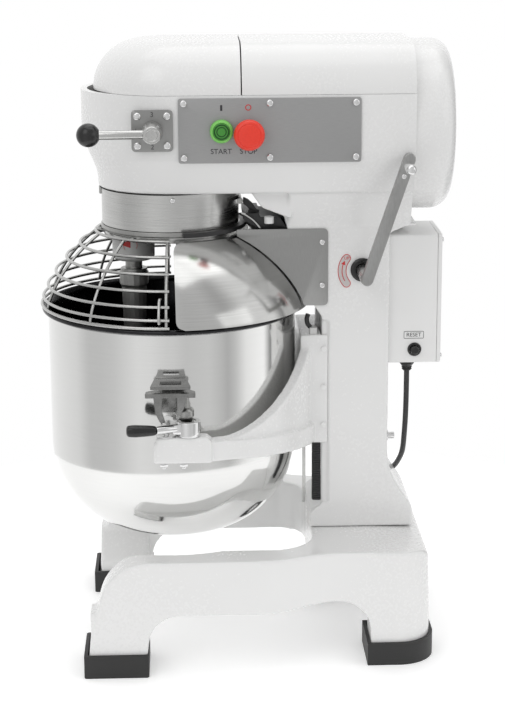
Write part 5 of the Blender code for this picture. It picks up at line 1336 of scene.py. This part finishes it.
def build_light():
    """Studio: plain white behind the machine, soft bands in the reflections, three lamps."""
    world = bpy.data.worlds.new("studio")
    bpy.context.scene.world = world
    world.use_nodes = True
    tree = world.node_tree
    sky = tree.nodes["Background"]
    place = tree.nodes.new("ShaderNodeTexCoord")
    sweep = tree.nodes.new("ShaderNodeTexGradient")
    sweep.gradient_type = "RADIAL"
    bands = tree.nodes.new("ShaderNodeValToRGB")
    ramp = bands.color_ramp
    stops = sorted((((degrees + 180) % 360) / 360, level) for degrees, level in ROOM_BANDS)
    stops = [(0.0, stops[0][1])] + stops + [(1.0, stops[0][1])]
    while len(ramp.elements) > 1:
        ramp.elements.remove(ramp.elements[-1])
    ramp.elements[0].position = stops[0][0]
    ramp.elements[0].color = (stops[0][1],) * 3 + (1,)
    for position, level in stops[1:]:
        element = ramp.elements.new(position)
        element.color = (level, level, level, 1)
    tree.links.new(place.outputs["Generated"], sweep.inputs["Vector"])
    tree.links.new(sweep.outputs["Fac"], bands.inputs["Fac"])
    path = tree.nodes.new("ShaderNodeLightPath")
    pick = tree.nodes.new("ShaderNodeMixRGB")
    pick.inputs["Color2"].default_value = (1, 1, 1, 1)
    tree.links.new(path.outputs["Is Camera Ray"], pick.inputs["Fac"])
    tree.links.new(bands.outputs["Color"], pick.inputs["Color1"])
    tree.links.new(pick.outputs["Color"], sky.inputs["Color"])
    for name, spot, size, power in (("key", (1.8, -1.2, 2.4), 1.6, 9), ("top", (-0.2, 0.2, 2.6), 2.0, 12),
                                    ("fill", (1.6, 2.2, 1.4), 1.4, 4)):
        light = bpy.data.lights.new(name, "AREA")
        light.size = size
        light.energy = power
        lamp = bpy.data.objects.new(name, light)
        bpy.context.scene.collection.objects.link(lamp)
        lamp.location = spot
        lamp.rotation_mode = "QUATERNION"
        lamp.rotation_quaternion = (Vector((0, 0, 0.35)) - Vector(spot)).to_track_quat("-Z", "Y")


def build_camera():
    """Camera at the photographed angle."""
    bpy.context.scene.view_settings.view_transform = "Standard"
    yaw, pitch, roll = 0.0344, 0.25, -0.0061
    forward = Vector((-math.cos(yaw) * math.cos(pitch), math.sin(yaw) * math.cos(pitch), -math.sin(pitch)))
    right = forward.cross(Vector((0, 0, 1))).normalized()
    up = right.cross(forward)
    right, up = right * math.cos(roll) + up * math.sin(roll), up * math.cos(roll) - right * math.sin(roll)
    data = bpy.data.cameras.new("photo_camera")
    data.sensor_width = 36.0
    data.lens = 94.27
    data.clip_start = 0.05
    data.clip_end = 50.0
    camera = bpy.data.objects.new("photo_camera", data)
    bpy.context.scene.collection.objects.link(camera)
    turn = Matrix((right, up, -forward)).transposed().to_4x4()
    camera.matrix_world = at(2.3465, -0.06885, 0.9672) @ turn
    bpy.context.scene.camera = camera


build_camera()
build_stage()
build_light()
build_cord()
build_base()
build_feet()
build_frame()
build_covers()
build_panel()
build_buttons()
build_selector()
build_hub()
build_bracket()
build_shield()
build_side_plates()
build_guard()
build_bowl()
build_cradle()
build_clamps()
build_lift()
build_raise_label()
build_box()
build_small_parts()
dress_inner_nodes()
